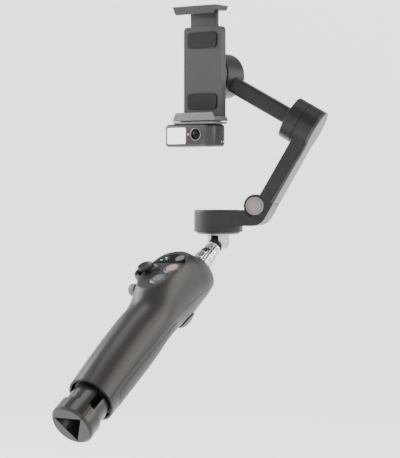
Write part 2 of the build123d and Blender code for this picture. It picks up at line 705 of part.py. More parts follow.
with BuildPart() as pan_stator:
    with BuildSketch(HEAD.offset(7.2)):
        Circle(SHAFT_R)
    extrude(amount=13.4)
    with BuildSketch(HEAD.offset(9.2)):
        Circle(11.0)
        with PolarLocations(9.0, 12):
            Rectangle(4.4, 1.4, mode=Mode.SUBTRACT)
    extrude(amount=6.0)
    with BuildSketch(HEAD.offset(7.2)):
        Circle(5.0)
    extrude(amount=2.0)
keep("pan_stator", pan_stator)

with BuildPart() as pan_bearing:
    with BuildSketch(HEAD.offset(16.6)):
        Circle(BEARING_R)
        Circle(SHAFT_R + FIT, mode=Mode.SUBTRACT)
    extrude(amount=3.4)
keep("pan_bearing", pan_bearing)

ARM_HALF = ARM_WIDTH / 2
reach, pivot_height = ELBOW
bend_reach = reach - ELBOW_BACK * sin(radians(LONG_ARM_LEAN))
bend_height = pivot_height - ELBOW_BACK * cos(radians(LONG_ARM_LEAN))
with BuildPart() as lower_arm:
    with BuildSketch(HEAD.offset(PAN_LOW)):
        Circle(PAN_R)
    extrude(amount=PAN_TOP - PAN_LOW)
    fillet(lower_arm.edges().filter_by(GeomType.CIRCLE).sort_by(Axis.Z)[-1], 1.4)
    with BuildSketch(ARMS):
        with BuildLine():
            low = Line((0, LOWER_ARM_LOW), (bend_reach, bend_height - ELBOW_R))
            turn = CenterArc((bend_reach, bend_height), ELBOW_R, -90, 90 + ELBOW_SPLIT)
            cut = Line(turn @ 1, ELBOW)
            Polyline(cut @ 1, (reach, LOWER_ARM_TOP), (0, LOWER_ARM_TOP), low @ 0)
        make_face()
    extrude(amount=ARM_HALF, both=True)
    # Room for the long arm's cheeks, and the barrel that turns between them
    for side in (-1, 1):
        with BuildSketch(ARMS.offset(side * BARREL_HALF_WIDTH)):
            with Locations(ELBOW):
                Circle(BARREL_R + GAP)
        extrude(amount=side * ARM_HALF, mode=Mode.SUBTRACT)
    with BuildSketch(ARMS):
        with Locations(ELBOW):
            Circle(BARREL_R)
    extrude(amount=BARREL_HALF_WIDTH, both=True)
    with BuildSketch(ARMS.offset(-ARM_HALF)):
        with Locations(ELBOW):
            Circle(PIVOT_R + FIT)
    extrude(amount=ARM_WIDTH, mode=Mode.SUBTRACT)
    # Hollow for the motor, open at its foot
    with BuildSketch(HEAD.offset(PAN_LOW)):
        Circle(13.6)
    extrude(amount=9.0, mode=Mode.SUBTRACT)
    with BuildSketch(HEAD.offset(PAN_LOW)):
        Circle(BEARING_R)
    extrude(amount=12.4, mode=Mode.SUBTRACT)
    with BuildSketch(HEAD.offset(PAN_LOW)):
        Circle(SHAFT_R + 0.6)
    extrude(amount=13.6, mode=Mode.SUBTRACT)
keep("lower_arm", lower_arm)

# ---- fold joint and long arm --------------------------------------------------------------
with BuildPart() as fold_pin:
    with BuildSketch(ARMS.offset(1.2 - ARM_HALF)):
        with Locations(ELBOW):
            Circle(PIVOT_R)
    extrude(amount=ARM_WIDTH - 2.4)
keep("fold_pin", fold_pin)

with BuildPart() as fold_caps:
    for side in (-1, 1):
        with BuildSketch(ARMS.offset(side * ARM_HALF)):
            with Locations(ELBOW):
                Circle(FOLD_CAP_R)
        extrude(amount=side * FOLD_CAP_HEIGHT, taper=20)
        with BuildSketch(ARMS.offset(side * (ARM_HALF + FOLD_CAP_HEIGHT - 0.3))):
            with Locations(ELBOW):
                Circle(5.6)
                Circle(5.2, mode=Mode.SUBTRACT)
        extrude(amount=side, mode=Mode.SUBTRACT)
keep("fold_caps", fold_caps)

ARM_BODY_OUTER = LONG_ARM_OUTER - COVER_THICKNESS
COVER_START = 8.0
with BuildPart() as long_arm:
    with BuildSketch(LONG_ARM.offset(-ARM_HALF)):
        # Straight run, and the elbow's wrap round the barrel up to the lower arm
        with Locations((TILT_ALONG / 2, (LONG_ARM_INNER + ARM_BODY_OUTER) / 2)):
            Rectangle(TILT_ALONG, ARM_BODY_OUTER - LONG_ARM_INNER)
        with BuildLine():
            wrap_from = 90 - LONG_ARM_LEAN - ELBOW_SPLIT - 1.6
            wrap = CenterArc((-ELBOW_BACK, 0), ELBOW_R, wrap_from, 90 - wrap_from)
            Polyline(wrap @ 1, (COVER_START, LONG_ARM_OUTER), (COVER_START, ARM_BODY_OUTER), (0, 0),
                     wrap @ 0)
        make_face()
        Circle(BARREL_R)
    extrude(amount=ARM_WIDTH)
    # Socket for the barrel between the two cheeks, and the pivot's hole
    with BuildSketch(LONG_ARM.offset(-BARREL_HALF_WIDTH - GAP)):
        Circle(BARREL_R + GAP)
    extrude(amount=2 * (BARREL_HALF_WIDTH + GAP), mode=Mode.SUBTRACT)
    with BuildSketch(LONG_ARM.offset(-ARM_HALF)):
        Circle(PIVOT_R)
    extrude(amount=ARM_WIDTH, mode=Mode.SUBTRACT)
    # Outer half of the tilt motor
    with BuildSketch(TILT_AXIS.offset(TILT_SEAM - ARM_BODY_OUTER)):
        Circle(TILT_R)
    extrude(amount=ARM_BODY_OUTER - TILT_SEAM)
    with BuildSketch(TILT_AXIS):
        Circle(12.6)
    extrude(amount=-7.0, mode=Mode.SUBTRACT)
keep("long_arm", long_arm)

with BuildPart() as long_arm_cover:
    with BuildSketch(TOP_FACE):
        with BuildLine():
            lower_left = Line((COVER_START, -ARM_HALF), (40.0, -ARM_HALF + 0.6))
            left_waist = Spline(lower_left @ 1, (51.0, -WAIST_HALF_WIDTH), (58.0, -TILT_R + 4.2),
                                tangents=[(1, 0), (0.75, -0.66)])
            cap = ThreePointArc(left_waist @ 1, (TILT_ALONG + TILT_R, 0), (58.0, TILT_R - 4.2))
            right_waist = Spline(cap @ 1, (51.0, WAIST_HALF_WIDTH), (40.0, ARM_HALF - 0.6),
                                 tangents=[(-0.75, -0.66), (-1, 0)])
            Polyline(right_waist @ 1, (COVER_START, ARM_HALF), (COVER_START, -ARM_HALF))
        make_face()
    extrude(amount=COVER_THICKNESS)
    outer_face = long_arm_cover.faces().sort_by(Axis(LONG_ARM.origin, LONG_ARM.y_dir))[-1]
    fillet(outer_face.edges(), 1.0)
keep("long_arm_cover", long_arm_cover)

with BuildPart() as tilt_stator:
    with BuildSketch(TILT_AXIS.offset(-6.9)):
        Circle(12.4)
        with PolarLocations(10.4, 12):
            Rectangle(4.2, 1.4, mode=Mode.SUBTRACT)
        Circle(SHAFT_R, mode=Mode.SUBTRACT)
    extrude(amount=6.6)
keep("tilt_stator", tilt_stator)

with BuildPart() as tilt_shaft:
    with BuildSketch(TILT_AXIS.offset(-6.9)):
        Circle(SHAFT_R)
    extrude(amount=6.9 + 8.0)
keep("tilt_shaft", tilt_shaft)

# ---- second arm ---------------------------------------------------------------------------
ROLL_AXIS = at(FACING, (0, ROLL_Z, 0))
to_roll = (ELBOW[0] + TILT_ALONG * sin(radians(LONG_ARM_LEAN)) + TILT_SEAM * cos(radians(LONG_ARM_LEAN)))
tilt_to_roll = to_roll / cos(radians(LONG_ARM_LEAN))
with BuildPart() as second_arm:
    with BuildSketch(TILT_AXIS.offset(GAP)):
        Circle(TILT_R)
    extrude(amount=TILT_INNER_DEPTH - GAP)
    rim = second_arm.edges().filter_by(GeomType.CIRCLE).sort_by(Axis(TILT_AXIS.origin, TILT_AXIS.z_dir))[-1]
    fillet(rim, 1.2)
    with BuildSketch(TILT_AXIS.offset(TILT_INNER_DEPTH - 1)):
        RectangleRounded(SECOND_ARM_THICKNESS, SECOND_ARM_WIDTH, 2.5)
    extrude(amount=tilt_to_roll - TILT_INNER_DEPTH - 8)
    with BuildSketch(ROLL_AXIS.offset(-ROLL_BACK)):
        Circle(ROLL_R)
    extrude(amount=ROLL_BACK - ROLL_FRONT)
    fillet(second_arm.edges().filter_by(GeomType.CIRCLE).sort_by(Axis.Y)[-1], 1.6)
    # Seats for both motors' bearings and shafts
    with BuildSketch(TILT_AXIS):
        Circle(BEARING_R)
    extrude(amount=4.0, mode=Mode.SUBTRACT)
    with BuildSketch(TILT_AXIS):
        Circle(SHAFT_R + 0.6)
    extrude(amount=8.6, mode=Mode.SUBTRACT)
    with BuildSketch(ROLL_AXIS.offset(-ROLL_FRONT)):
        Circle(13.0)
    extrude(amount=-9.0, mode=Mode.SUBTRACT)
    with BuildSketch(ROLL_AXIS.offset(-ROLL_FRONT)):
        Circle(BEARING_R)
    extrude(amount=-13.0, mode=Mode.SUBTRACT)
    with BuildSketch(ROLL_AXIS.offset(-ROLL_FRONT)):
        Circle(SHAFT_R + 0.6)
    extrude(amount=-15.0, mode=Mode.SUBTRACT)
keep("second_arm", second_arm)

with BuildPart() as tilt_bearing:
    with BuildSketch(TILT_AXIS.offset(0.4)):
        Circle(BEARING_R)
        Circle(SHAFT_R + FIT, mode=Mode.SUBTRACT)
    extrude(amount=3.6)
keep("tilt_bearing", tilt_bearing)

with BuildPart() as roll_stator:
    with BuildSketch(ROLL_AXIS.offset(-ROLL_FRONT - 8.9)):
        Circle(11.0)
        with PolarLocations(9.0, 12):
            Rectangle(4.2, 1.4, mode=Mode.SUBTRACT)
        Circle(SHAFT_R + 0.6, mode=Mode.SUBTRACT)
    extrude(amount=7.0)
keep("roll_stator", roll_stator)

with BuildPart() as roll_bearing:
    with BuildSketch(ROLL_AXIS.offset(-ROLL_FRONT - 12.8)):
        Circle(BEARING_R)
        Circle(SHAFT_R + FIT, mode=Mode.SUBTRACT)
    extrude(amount=3.6)
keep("roll_bearing", roll_bearing)

# ---- clamp --------------------------------------------------------------------------------
with BuildPart() as roll_plate:
    with BuildSketch(ROLL_AXIS.offset(-ROLL_FRONT + GAP)):
        Circle(ROLL_R - 0.6)
    extrude(amount=-PLATE_FRONT + ROLL_FRONT - GAP)
    with BuildSketch(ROLL_AXIS.offset(-ROLL_FRONT + GAP)):
        Circle(SHAFT_R)
    extrude(amount=-14.0)
keep("roll_plate", roll_plate)

BACK_PAD = 1.0
BODY_FRONT = PHONE_BACK + BACK_PAD
BODY_LOW = PHONE_LOW - PAD - JAW_THICKNESS
BODY_TOP = 161.4
TONGUE_FRONT = BODY_FRONT + 1.8
TONGUE_THICKNESS = 2.4
POCKET_LOW = 114.0
SPRING_X = 7.0
SPRING_LOW = 98.0
PHONE_TOP = PHONE_LOW + PHONE_WIDTH


def block(plane, left, right, low, high):
    """A rectangle between four lines of a plane, for an extrusion."""
    with BuildSketch(plane) as outline:
        with Locations(((left + right) / 2, (low + high) / 2)):
            Rectangle(right - left, high - low)
    return outline.sketch


with BuildPart() as clamp_body:
    with BuildSketch(FACING.offset(-BODY_FRONT)):
        with Locations((0, (BODY_LOW + BODY_TOP) / 2)):
            RectangleRounded(2 * CLAMP_HALF_WIDTH, BODY_TOP - BODY_LOW, 3)
    extrude(amount=BODY_FRONT - PLATE_FRONT)
    with BuildSketch(FACING.offset(-TONGUE_FRONT + GAP)):
        with Locations((0, (POCKET_LOW + BODY_TOP) / 2)):
            Rectangle(2 * (TONGUE_HALF_WIDTH + GAP), BODY_TOP - POCKET_LOW)
    extrude(amount=-TONGUE_THICKNESS - 2 * GAP, mode=Mode.SUBTRACT)
    with BuildSketch(HEAD.offset(SPRING_LOW)):
        with Locations(
            (SPRING_X, TONGUE_FRONT + TONGUE_THICKNESS / 2), (-SPRING_X, TONGUE_FRONT + TONGUE_THICKNESS / 2)
        ):
            Circle(1.4)
    extrude(amount=POCKET_LOW - SPRING_LOW, mode=Mode.SUBTRACT)
keep("clamp_body", clamp_body)

with BuildPart() as clamp_springs:
    with BuildSketch(HEAD.offset(SPRING_LOW)):
        with Locations(
            (SPRING_X, TONGUE_FRONT + TONGUE_THICKNESS / 2), (-SPRING_X, TONGUE_FRONT + TONGUE_THICKNESS / 2)
        ):
            Circle(1.15)
            Circle(0.7, mode=Mode.SUBTRACT)
    extrude(amount=PHONE_LOW + 33.0 - SPRING_LOW)
keep("clamp_springs", clamp_springs)

JAW_BACK = BODY_FRONT - GAP
LIP_BACK = PHONE_BACK - PHONE_THICKNESS - 0.3
JAW_CORNER = 1.2
with BuildPart() as lower_jaw:
    for height, half_width in ((BODY_LOW, JAW_HALF_WIDTH), (PHONE_LOW + JAW_OVERLAP, LIP_HALF_WIDTH)):
        with BuildSketch(HEAD.offset(height)):
            with Locations((0, (PLATE_FRONT + JAW_FRONT) / 2)):
                Rectangle(2 * half_width, PLATE_FRONT - JAW_FRONT)
    loft()
    extrude(block(ACROSS.offset(-30), LIP_BACK, 0, PHONE_LOW - PAD, 200), amount=60, mode=Mode.SUBTRACT)
    add(clamp_body.part, mode=Mode.SUBTRACT)
    fillet(lower_jaw.edges().filter_by(Axis.X).group_by(Axis.Y)[0], JAW_CORNER)
keep("lower_jaw", lower_jaw)

CARRIAGE_TOP = PHONE_TOP + PAD + JAW_THICKNESS
with BuildPart() as upper_jaw:
    for height, half_width in ((PHONE_TOP - JAW_OVERLAP, LIP_HALF_WIDTH), (CARRIAGE_TOP, JAW_HALF_WIDTH)):
        with BuildSketch(HEAD.offset(height)):
            with Locations((0, (PLATE_FRONT + JAW_FRONT) / 2)):
                Rectangle(2 * half_width, PLATE_FRONT - JAW_FRONT)
    loft()
    extrude(block(ACROSS.offset(-30), LIP_BACK, 0, 100, PHONE_TOP + PAD), amount=60, mode=Mode.SUBTRACT)
    fillet(upper_jaw.edges().filter_by(Axis.X).group_by(Axis.Y)[0], JAW_CORNER)
    with BuildSketch(FACING.offset(-TONGUE_FRONT)):
        with Locations((0, (PHONE_LOW + 33.0 + PHONE_TOP + 2) / 2)):
            Rectangle(2 * TONGUE_HALF_WIDTH, PHONE_TOP + 2 - PHONE_LOW - 33.0)
    extrude(amount=-TONGUE_THICKNESS)
keep("upper_jaw", upper_jaw)

with BuildPart() as clamp_pads:
    extrude(block(HEAD.offset(PHONE_LOW - PAD), -14, 14, LIP_BACK + 0.5, JAW_BACK - 0.6), amount=PAD)
    with BuildSketch(FACING.offset(-BODY_FRONT)):
        with Locations((0, BODY_LOW + 15), (0, BODY_TOP - 10)):
            RectangleRounded(2 * CLAMP_HALF_WIDTH - 8, 12, 3)
    extrude(amount=BACK_PAD)
keep("clamp_pads", clamp_pads)

with BuildPart() as upper_pad:
    extrude(block(HEAD.offset(PHONE_TOP), -14, 14, LIP_BACK + 0.5, JAW_BACK - 0.6), amount=PAD)
keep("upper_jaw_pad", upper_pad)

# ---- camera module ------------------------------------------------------------------------
left, right = MODULE_SIDES
front, back = MODULE_DEPTHS
low, high = MODULE_HEIGHTS
RAIL_LOW = high + 0.6
with BuildPart() as module_rail:
    extrude(block(HEAD.offset(RAIL_LOW), -JAW_HALF_WIDTH, JAW_HALF_WIDTH - 0.6, JAW_FRONT + 0.3,
                  PLATE_FRONT),
            amount=BODY_LOW - 0.7 - RAIL_LOW)
    fillet(module_rail.edges().filter_by(Axis.Z), 1.2)
    extrude(block(HEAD.offset(RAIL_LOW), -14, 14, JAW_FRONT + 3, PLATE_FRONT - 1.5),
            amount=BODY_LOW - RAIL_LOW)
keep("module_rail", module_rail)

with BuildPart() as module_shell:
    extrude(block(HEAD.offset(low), left, right, front, back), amount=high - low)
    fillet(module_shell.edges().filter_by(Axis.Z), 4.0)
    fillet(module_shell.edges().group_by(Axis.Z)[0] + module_shell.edges().group_by(Axis.Z)[-1], 2.6)
    extrude(block(HEAD.offset(low + 2), left + 2, right - 2, front + 2, back - 2), amount=high - low - 4,
            mode=Mode.SUBTRACT)
    # Magnet foot against the rail, window for the lamp, holes for the lens and the pilot light
    extrude(block(HEAD.offset(high - 1), -12, 12, front + 5, back - 4), amount=1.6)
    with BuildSketch(FACING.offset(-front)):
        with Locations((left + 11.2, (low + high) / 2)):
            RectangleRounded(LAMP_WIDTH, LAMP_HEIGHT, 1.2)
        with Locations(LENS_AT):
            Circle(LENS_R + 1.0)
        with Locations((LENS_AT[0] - 7.0, LENS_AT[1])):
            Circle(0.9)
    extrude(amount=-2.5, mode=Mode.SUBTRACT)
keep("module_shell", module_shell)

with BuildPart() as lamp_window:
    with BuildSketch(FACING.offset(-front)):
        with Locations((left + 11.2, (low + high) / 2)):
            RectangleRounded(LAMP_WIDTH - 0.1, LAMP_HEIGHT - 0.1, 1.15)
    extrude(amount=-1.8)
keep("lamp_window", lamp_window)

LENS_AXIS = at(FACING, (*LENS_AT, 0))
with BuildPart() as lens_barrel:
    with BuildSketch(LENS_AXIS.offset(-front + 0.7)):
        Circle(LENS_R + 1.0)
        Circle(LENS_R - 0.4, mode=Mode.SUBTRACT)
    extrude(amount=-1.6)
    with BuildSketch(LENS_AXIS.offset(-front - 0.9)):
        Circle(LENS_R + 1.0)
        Circle(2.2, mode=Mode.SUBTRACT)
    extrude(amount=-8.0)
keep("lens_barrel", lens_barrel)

with BuildPart() as lens_glass:
    with BuildSketch(LENS_AXIS.offset(-front - 0.9)):
        Circle(LENS_R - 0.45)
    extrude(amount=1.2)
    fillet(lens_glass.edges().filter_by(GeomType.CIRCLE).sort_by(Axis.Y)[0], 0.5)
keep("lens_glass", lens_glass)

with BuildPart() as pilot_light:
    with BuildSketch(FACING.offset(-front)):
        with Locations((LENS_AT[0] - 7.0, LENS_AT[1])):
            Circle(0.85)
    extrude(amount=-2.4)
keep("pilot_light", pilot_light)
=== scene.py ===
"""Surfaces and finishes of a folding three-axis phone gimbal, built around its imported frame.

Lengths inside the classes are millimetres in a named set of axes, and Axes.place turns them into
metres in the row frame. Each sub-assembly is a class: its sizes are fields, its methods build meshes.
A profile is a tuple of (radius, height) steps, which revolve turns about an axis's z.
"""
import logging
import math
from dataclasses import dataclass
from enum import Enum, unique

import bmesh
import bpy
import numpy as np
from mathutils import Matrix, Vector


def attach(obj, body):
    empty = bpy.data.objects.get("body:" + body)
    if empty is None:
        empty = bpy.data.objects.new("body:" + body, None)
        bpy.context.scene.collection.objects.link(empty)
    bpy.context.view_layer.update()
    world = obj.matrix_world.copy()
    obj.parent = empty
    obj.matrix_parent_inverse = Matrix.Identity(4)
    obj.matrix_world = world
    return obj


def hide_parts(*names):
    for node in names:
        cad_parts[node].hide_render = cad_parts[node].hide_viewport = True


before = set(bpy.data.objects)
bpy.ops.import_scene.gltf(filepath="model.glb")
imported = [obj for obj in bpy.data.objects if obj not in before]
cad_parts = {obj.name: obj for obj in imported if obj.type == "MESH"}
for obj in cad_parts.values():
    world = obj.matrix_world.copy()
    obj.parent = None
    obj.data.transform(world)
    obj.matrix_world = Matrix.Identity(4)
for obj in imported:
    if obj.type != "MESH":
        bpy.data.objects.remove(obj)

LOG = logging.getLogger("gimbal")
MM = 0.001

Pair = tuple[float, float]
Triple = tuple[float, float, float]
Profile = tuple[Pair, ...]

# The grip's lean from upright, and how far up its axis the head's hinge is from the hand
LEAN = math.radians(55.6)
GRIP_TO_HINGE = 135.0
HINGE = np.array([0.0, GRIP_TO_HINGE * math.sin(LEAN), GRIP_TO_HINGE * math.cos(LEAN)])
# The thumb panel's lean against the grip, and its depth and height on the handle's axes
PANEL_LEAN = math.radians(4.76)
PANEL_DEPTH, PANEL_HEIGHT = 24.0, -50.0
# The heading of both arms, the fold joint's place in their plane, and the long arm's lean
ARM_HEADING = math.radians(22.0)
ELBOW = (31.0, 27.3)
LONG_ARM_LEAN = math.radians(30.0)
# The tilt motor's place along the long arm, and across it to the motor's seam
TILT_ALONG, TILT_SEAM = 69.9, -2.9

# Mesh building: metres and radians
MERGE_DISTANCE, SLIVER_LENGTH = 2e-7, 1e-8
SHARP_ANGLE = math.radians(40.0)
NORMAL_WEIGHT = 60
# Solids carried over as they are
WELD_DISTANCE = 2e-6
FLAT_ANGLE, EDGE_ANGLE = math.radians(0.6), math.radians(38.0)


class Side(Enum):
    """The two sides that a part is made for, as the sign of its outward direction."""

    FRONT = 1
    BACK = -1


# ---- axes ----
@dataclass(frozen=True)
class Axes:
    """A right-handed set of axes: an origin in millimetres and three unit vectors."""

    origin: np.ndarray
    x: np.ndarray
    y: np.ndarray
    z: np.ndarray

    def place(self, points: np.ndarray) -> np.ndarray:
        """Turns points of these axes into the row frame.

        Args:
            points: array of shape (..., 3), in millimetres.

        Returns:
            The same points in metres, as origin + x*X + y*Y + z*Z.
        """
        return (self.origin + points @ np.stack([self.x, self.y, self.z])) * MM

    def at(self, x: float = 0.0, y: float = 0.0, z: float = 0.0) -> "Axes":
        """The same directions with the origin moved to (x, y, z) of these axes."""
        return Axes(self.origin + x * self.x + y * self.y + z * self.z, self.x, self.y, self.z)

    def facing(self, z: np.ndarray, x: np.ndarray) -> "Axes":
        """The same origin with new z and x directions."""
        return Axes(self.origin, x, np.cross(z, x), z)


X, Y, Z = np.eye(3)
UP_HANDLE = np.array([0.0, math.sin(LEAN), math.cos(LEAN)])
HANDLE = Axes(HINGE, X, np.cross(UP_HANDLE, X), UP_HANDLE)
HEAD = Axes(HINGE, X, Y, Z)
PANEL_NORMAL = -math.cos(PANEL_LEAN) * HANDLE.y + math.sin(PANEL_LEAN) * HANDLE.z
PANEL = HANDLE.at(0, -PANEL_DEPTH, PANEL_HEIGHT).facing(PANEL_NORMAL, X)
REACH = np.array([math.cos(ARM_HEADING), math.sin(ARM_HEADING), 0.0])
ARMS = Axes(HINGE, REACH, Z, np.cross(REACH, Z))
ALONG = math.sin(LONG_ARM_LEAN) * REACH + math.cos(LONG_ARM_LEAN) * Z
ACROSS = math.cos(LONG_ARM_LEAN) * REACH - math.sin(LONG_ARM_LEAN) * Z
LONG_ARM = ARMS.at(*ELBOW).facing(np.cross(ALONG, ACROSS), ALONG)
TILT = LONG_ARM.at(TILT_ALONG, TILT_SEAM).facing(-ACROSS, ALONG)


# ---- mesh building ----
def link_mesh(name: str, verts: np.ndarray, faces: np.ndarray) -> bpy.types.Object:
    """Puts vertices and quads into a new mesh object, merges doubles and turns faces outwards.

    Args:
        name: the piece's name.
        verts: (n, 3) points in metres.
        faces: (m, 4) vertex numbers.

    Returns:
        The linked object, at the origin and shaded smooth between its sharp edges.
    """
    mesh = bpy.data.meshes.new(name)
    mesh.from_pydata(verts.tolist(), [], faces.tolist())
    made = bmesh.new()
    made.from_mesh(mesh)
    bmesh.ops.remove_doubles(made, verts=made.verts, dist=MERGE_DISTANCE)
    bmesh.ops.dissolve_degenerate(made, edges=made.edges, dist=SLIVER_LENGTH)
    bmesh.ops.recalc_face_normals(made, faces=made.faces)
    made.to_mesh(mesh)
    made.free()
    mesh.polygons.foreach_set("use_smooth", np.ones(len(mesh.polygons), bool))
    mesh.set_sharp_from_angle(angle=SHARP_ANGLE)
    piece = bpy.data.objects.new(name, mesh)
    bpy.context.scene.collection.objects.link(piece)
    return piece


def grid(name: str, points: np.ndarray, around: bool = False) -> bpy.types.Object:
    """A surface over a grid of points: each quad joins a point to its neighbours right and above.

    Args:
        name: the piece's name.
        points: (rows, columns, 3) in metres.
        around: whether the last column joins the first.

    Returns:
        The piece.
    """
    rows, columns = points.shape[:2]
    number = np.arange(rows * columns).reshape(rows, columns)
    if around:
        number = np.hstack([number, number[:, :1]])
    faces = np.stack([number[:-1, :-1], number[:-1, 1:], number[1:, 1:], number[1:, :-1]], axis=-1)
    return link_mesh(name, points.reshape(-1, 3), faces.reshape(-1, 4))


def revolve(name: str, axes: Axes, profile: Profile, steps: int = 96, ripple: float = 0.0,
            teeth: int = 0, ripple_from: float = 0.0) -> bpy.types.Object:
    """A profile turned about an axis's z, with knurls or flutes where it has teeth.

    The radius is the profile's radius less ripple * (1 - |cos(teeth * angle / 2)| ** 0.5), which
    leaves crests between narrow grooves.

    Args:
        name: the piece's name.
        axes: its axes, with z to turn about.
        profile: (radius, height) steps.
        steps: steps of the turn.
        ripple: depth of the grooves.
        teeth: number of grooves.
        ripple_from: the radius past which the grooves are cut.

    Returns:
        The piece.
    """
    radius, height = np.array(profile, float).T
    angle = np.linspace(0, 2 * np.pi, steps, endpoint=False)
    wave = ripple * (1 - np.abs(np.cos(teeth * angle / 2)) ** 0.5) if teeth else 0 * angle
    ring = radius[:, None] - np.where(radius[:, None] > ripple_from, wave[None, :], 0.0)
    points = np.stack([ring * np.cos(angle), ring * np.sin(angle), height[:, None] + 0 * ring], axis=-1)
    return grid(name, axes.place(points), around=True)


def rounded_outline(half_x: float, half_y: float, corner: float | tuple, count: int = 12) -> np.ndarray:
    """Points of a rectangle with round corners: four quarter circles, joined.

    Args:
        half_x: half its width.
        half_y: half its height.
        corner: one radius, or four from the corner at +x +y on, anticlockwise.
        count: points on each corner.

    Returns:
        An array of shape (4 * count, 2).
    """
    radius = np.repeat(np.broadcast_to(corner, 4).astype(float), count)
    quarter = np.linspace(0, np.pi / 2, count)
    angle = np.concatenate([quarter + k * np.pi / 2 for k in range(4)])
    centre_x = np.repeat([1, -1, -1, 1], count) * (half_x - radius)
    centre_y = np.repeat([1, 1, -1, -1], count) * (half_y - radius)
    return np.stack([centre_x + radius * np.cos(angle), centre_y + radius * np.sin(angle)], axis=-1)


def prism(name: str, axes: Axes, outlines: list[np.ndarray], heights: list[float]) -> bpy.types.Object:
    """A closed solid through outlines of equal count at rising heights.

    Each end is filled by a fan from the outline to its own mean point.

    Args:
        name: the piece's name.
        axes: its axes, with z through the outlines.
        outlines: arrays of shape (count, 2), from the lowest up.
        heights: the height of each.

    Returns:
        The closed piece.
    """
    rings = [np.concatenate([o, np.full((len(o), 1), h)], axis=1) for o, h in zip(outlines, heights)]
    first = np.repeat(rings[0].mean(0)[None], len(rings[0]), axis=0)
    last = np.repeat(rings[-1].mean(0)[None], len(rings[0]), axis=0)
    return grid(name, axes.place(np.stack([first, *rings, last])), around=True)


def pillow(name: str, axes: Axes, half_x: float, half_y: float, corner: float | tuple, low: float,
           high: float, edge: float) -> bpy.types.Object:
    """A box whose upright corners and whose top and bottom edges are all round.

    Near each end the outline is drawn in by edge * (1 - sin t) while the height goes by
    edge * (1 - cos t), for t over a quarter turn.

    Args:
        name: the piece's name.
        axes: its axes, with z along the rounded ends.
        half_x: half its width.
        half_y: half its depth.
        corner: radius of the upright corners, or four.
        low: height of its foot.
        high: height of its top.
        edge: radius of the end edges.

    Returns:
        The closed piece.
    """
    least_corner = 0.3
    turn = np.linspace(0, np.pi / 2, 9)
    inset = np.concatenate([edge * (1 - np.sin(turn)), edge * (1 - np.sin(turn[::-1]))])
    height = np.concatenate([low + edge * (1 - np.cos(turn)), high - edge * (1 - np.cos(turn[::-1]))])
    outlines = [rounded_outline(half_x - draw, half_y - draw,
                                np.maximum(np.asarray(corner, float) - draw, least_corner)) for draw in inset]
    return prism(name, axes, outlines, list(height))


def bevelled(piece: bpy.types.Object, width: float, segments: int = 3,
             angle: float = 35.0) -> bpy.types.Object:
    """Rounds a piece's sharp edges and evens its normals.

    Args:
        piece: the piece.
        width: how far each edge is cut back, in millimetres.
        segments: steps across a rounded edge.
        angle: the least angle of an edge that is rounded, in degrees.

    Returns:
        The same piece.
    """
    bevel = piece.modifiers.new("edges", "BEVEL")
    bevel.width, bevel.segments, bevel.limit_method = width * MM, segments, "ANGLE"
    bevel.angle_limit = math.radians(angle)
    piece.modifiers.new("normals", "WEIGHTED_NORMAL").weight = NORMAL_WEIGHT
    return piece


def walled(piece: bpy.types.Object, thickness: float, rim: float) -> bpy.types.Object:
    """Gives an open sheet a wall inwards and a rounded rim.

    Args:
        piece: the sheet.
        thickness: the wall's thickness, in millimetres.
        rim: how far the rim's edges are rounded, in millimetres.

    Returns:
        The same piece.
    """
    wall = piece.modifiers.new("wall", "SOLIDIFY")
    wall.thickness, wall.offset, wall.use_even_offset = thickness * MM, -1.0, False
    return bevelled(piece, rim, 2, 50.0)


def smooth_curve(where: np.ndarray, knots: tuple, values: tuple) -> np.ndarray:
    """A cubic through knots, whose slope at each knot is the weighted mean of the slopes beside it.

    Args:
        where: the places to work out, which end at the first and the last knot.
        knots: the knots' places, in any order.
        values: the value at each knot.

    Returns:
        The values at those places.
    """
    order = np.argsort(knots)
    k, v = np.asarray(knots, float)[order], np.asarray(values, float)[order]
    slope = np.gradient(v, k)
    i = np.clip(np.searchsorted(k, where) - 1, 0, len(k) - 2)
    step = k[i + 1] - k[i]
    t = np.clip((where - k[i]) / step, 0, 1)
    return ((2 * t**3 - 3 * t**2 + 1) * v[i] + (t**3 - 2 * t**2 + t) * step * slope[i]
            + (3 * t**2 - 2 * t**3) * v[i + 1] + (t**3 - t**2) * step * slope[i + 1])


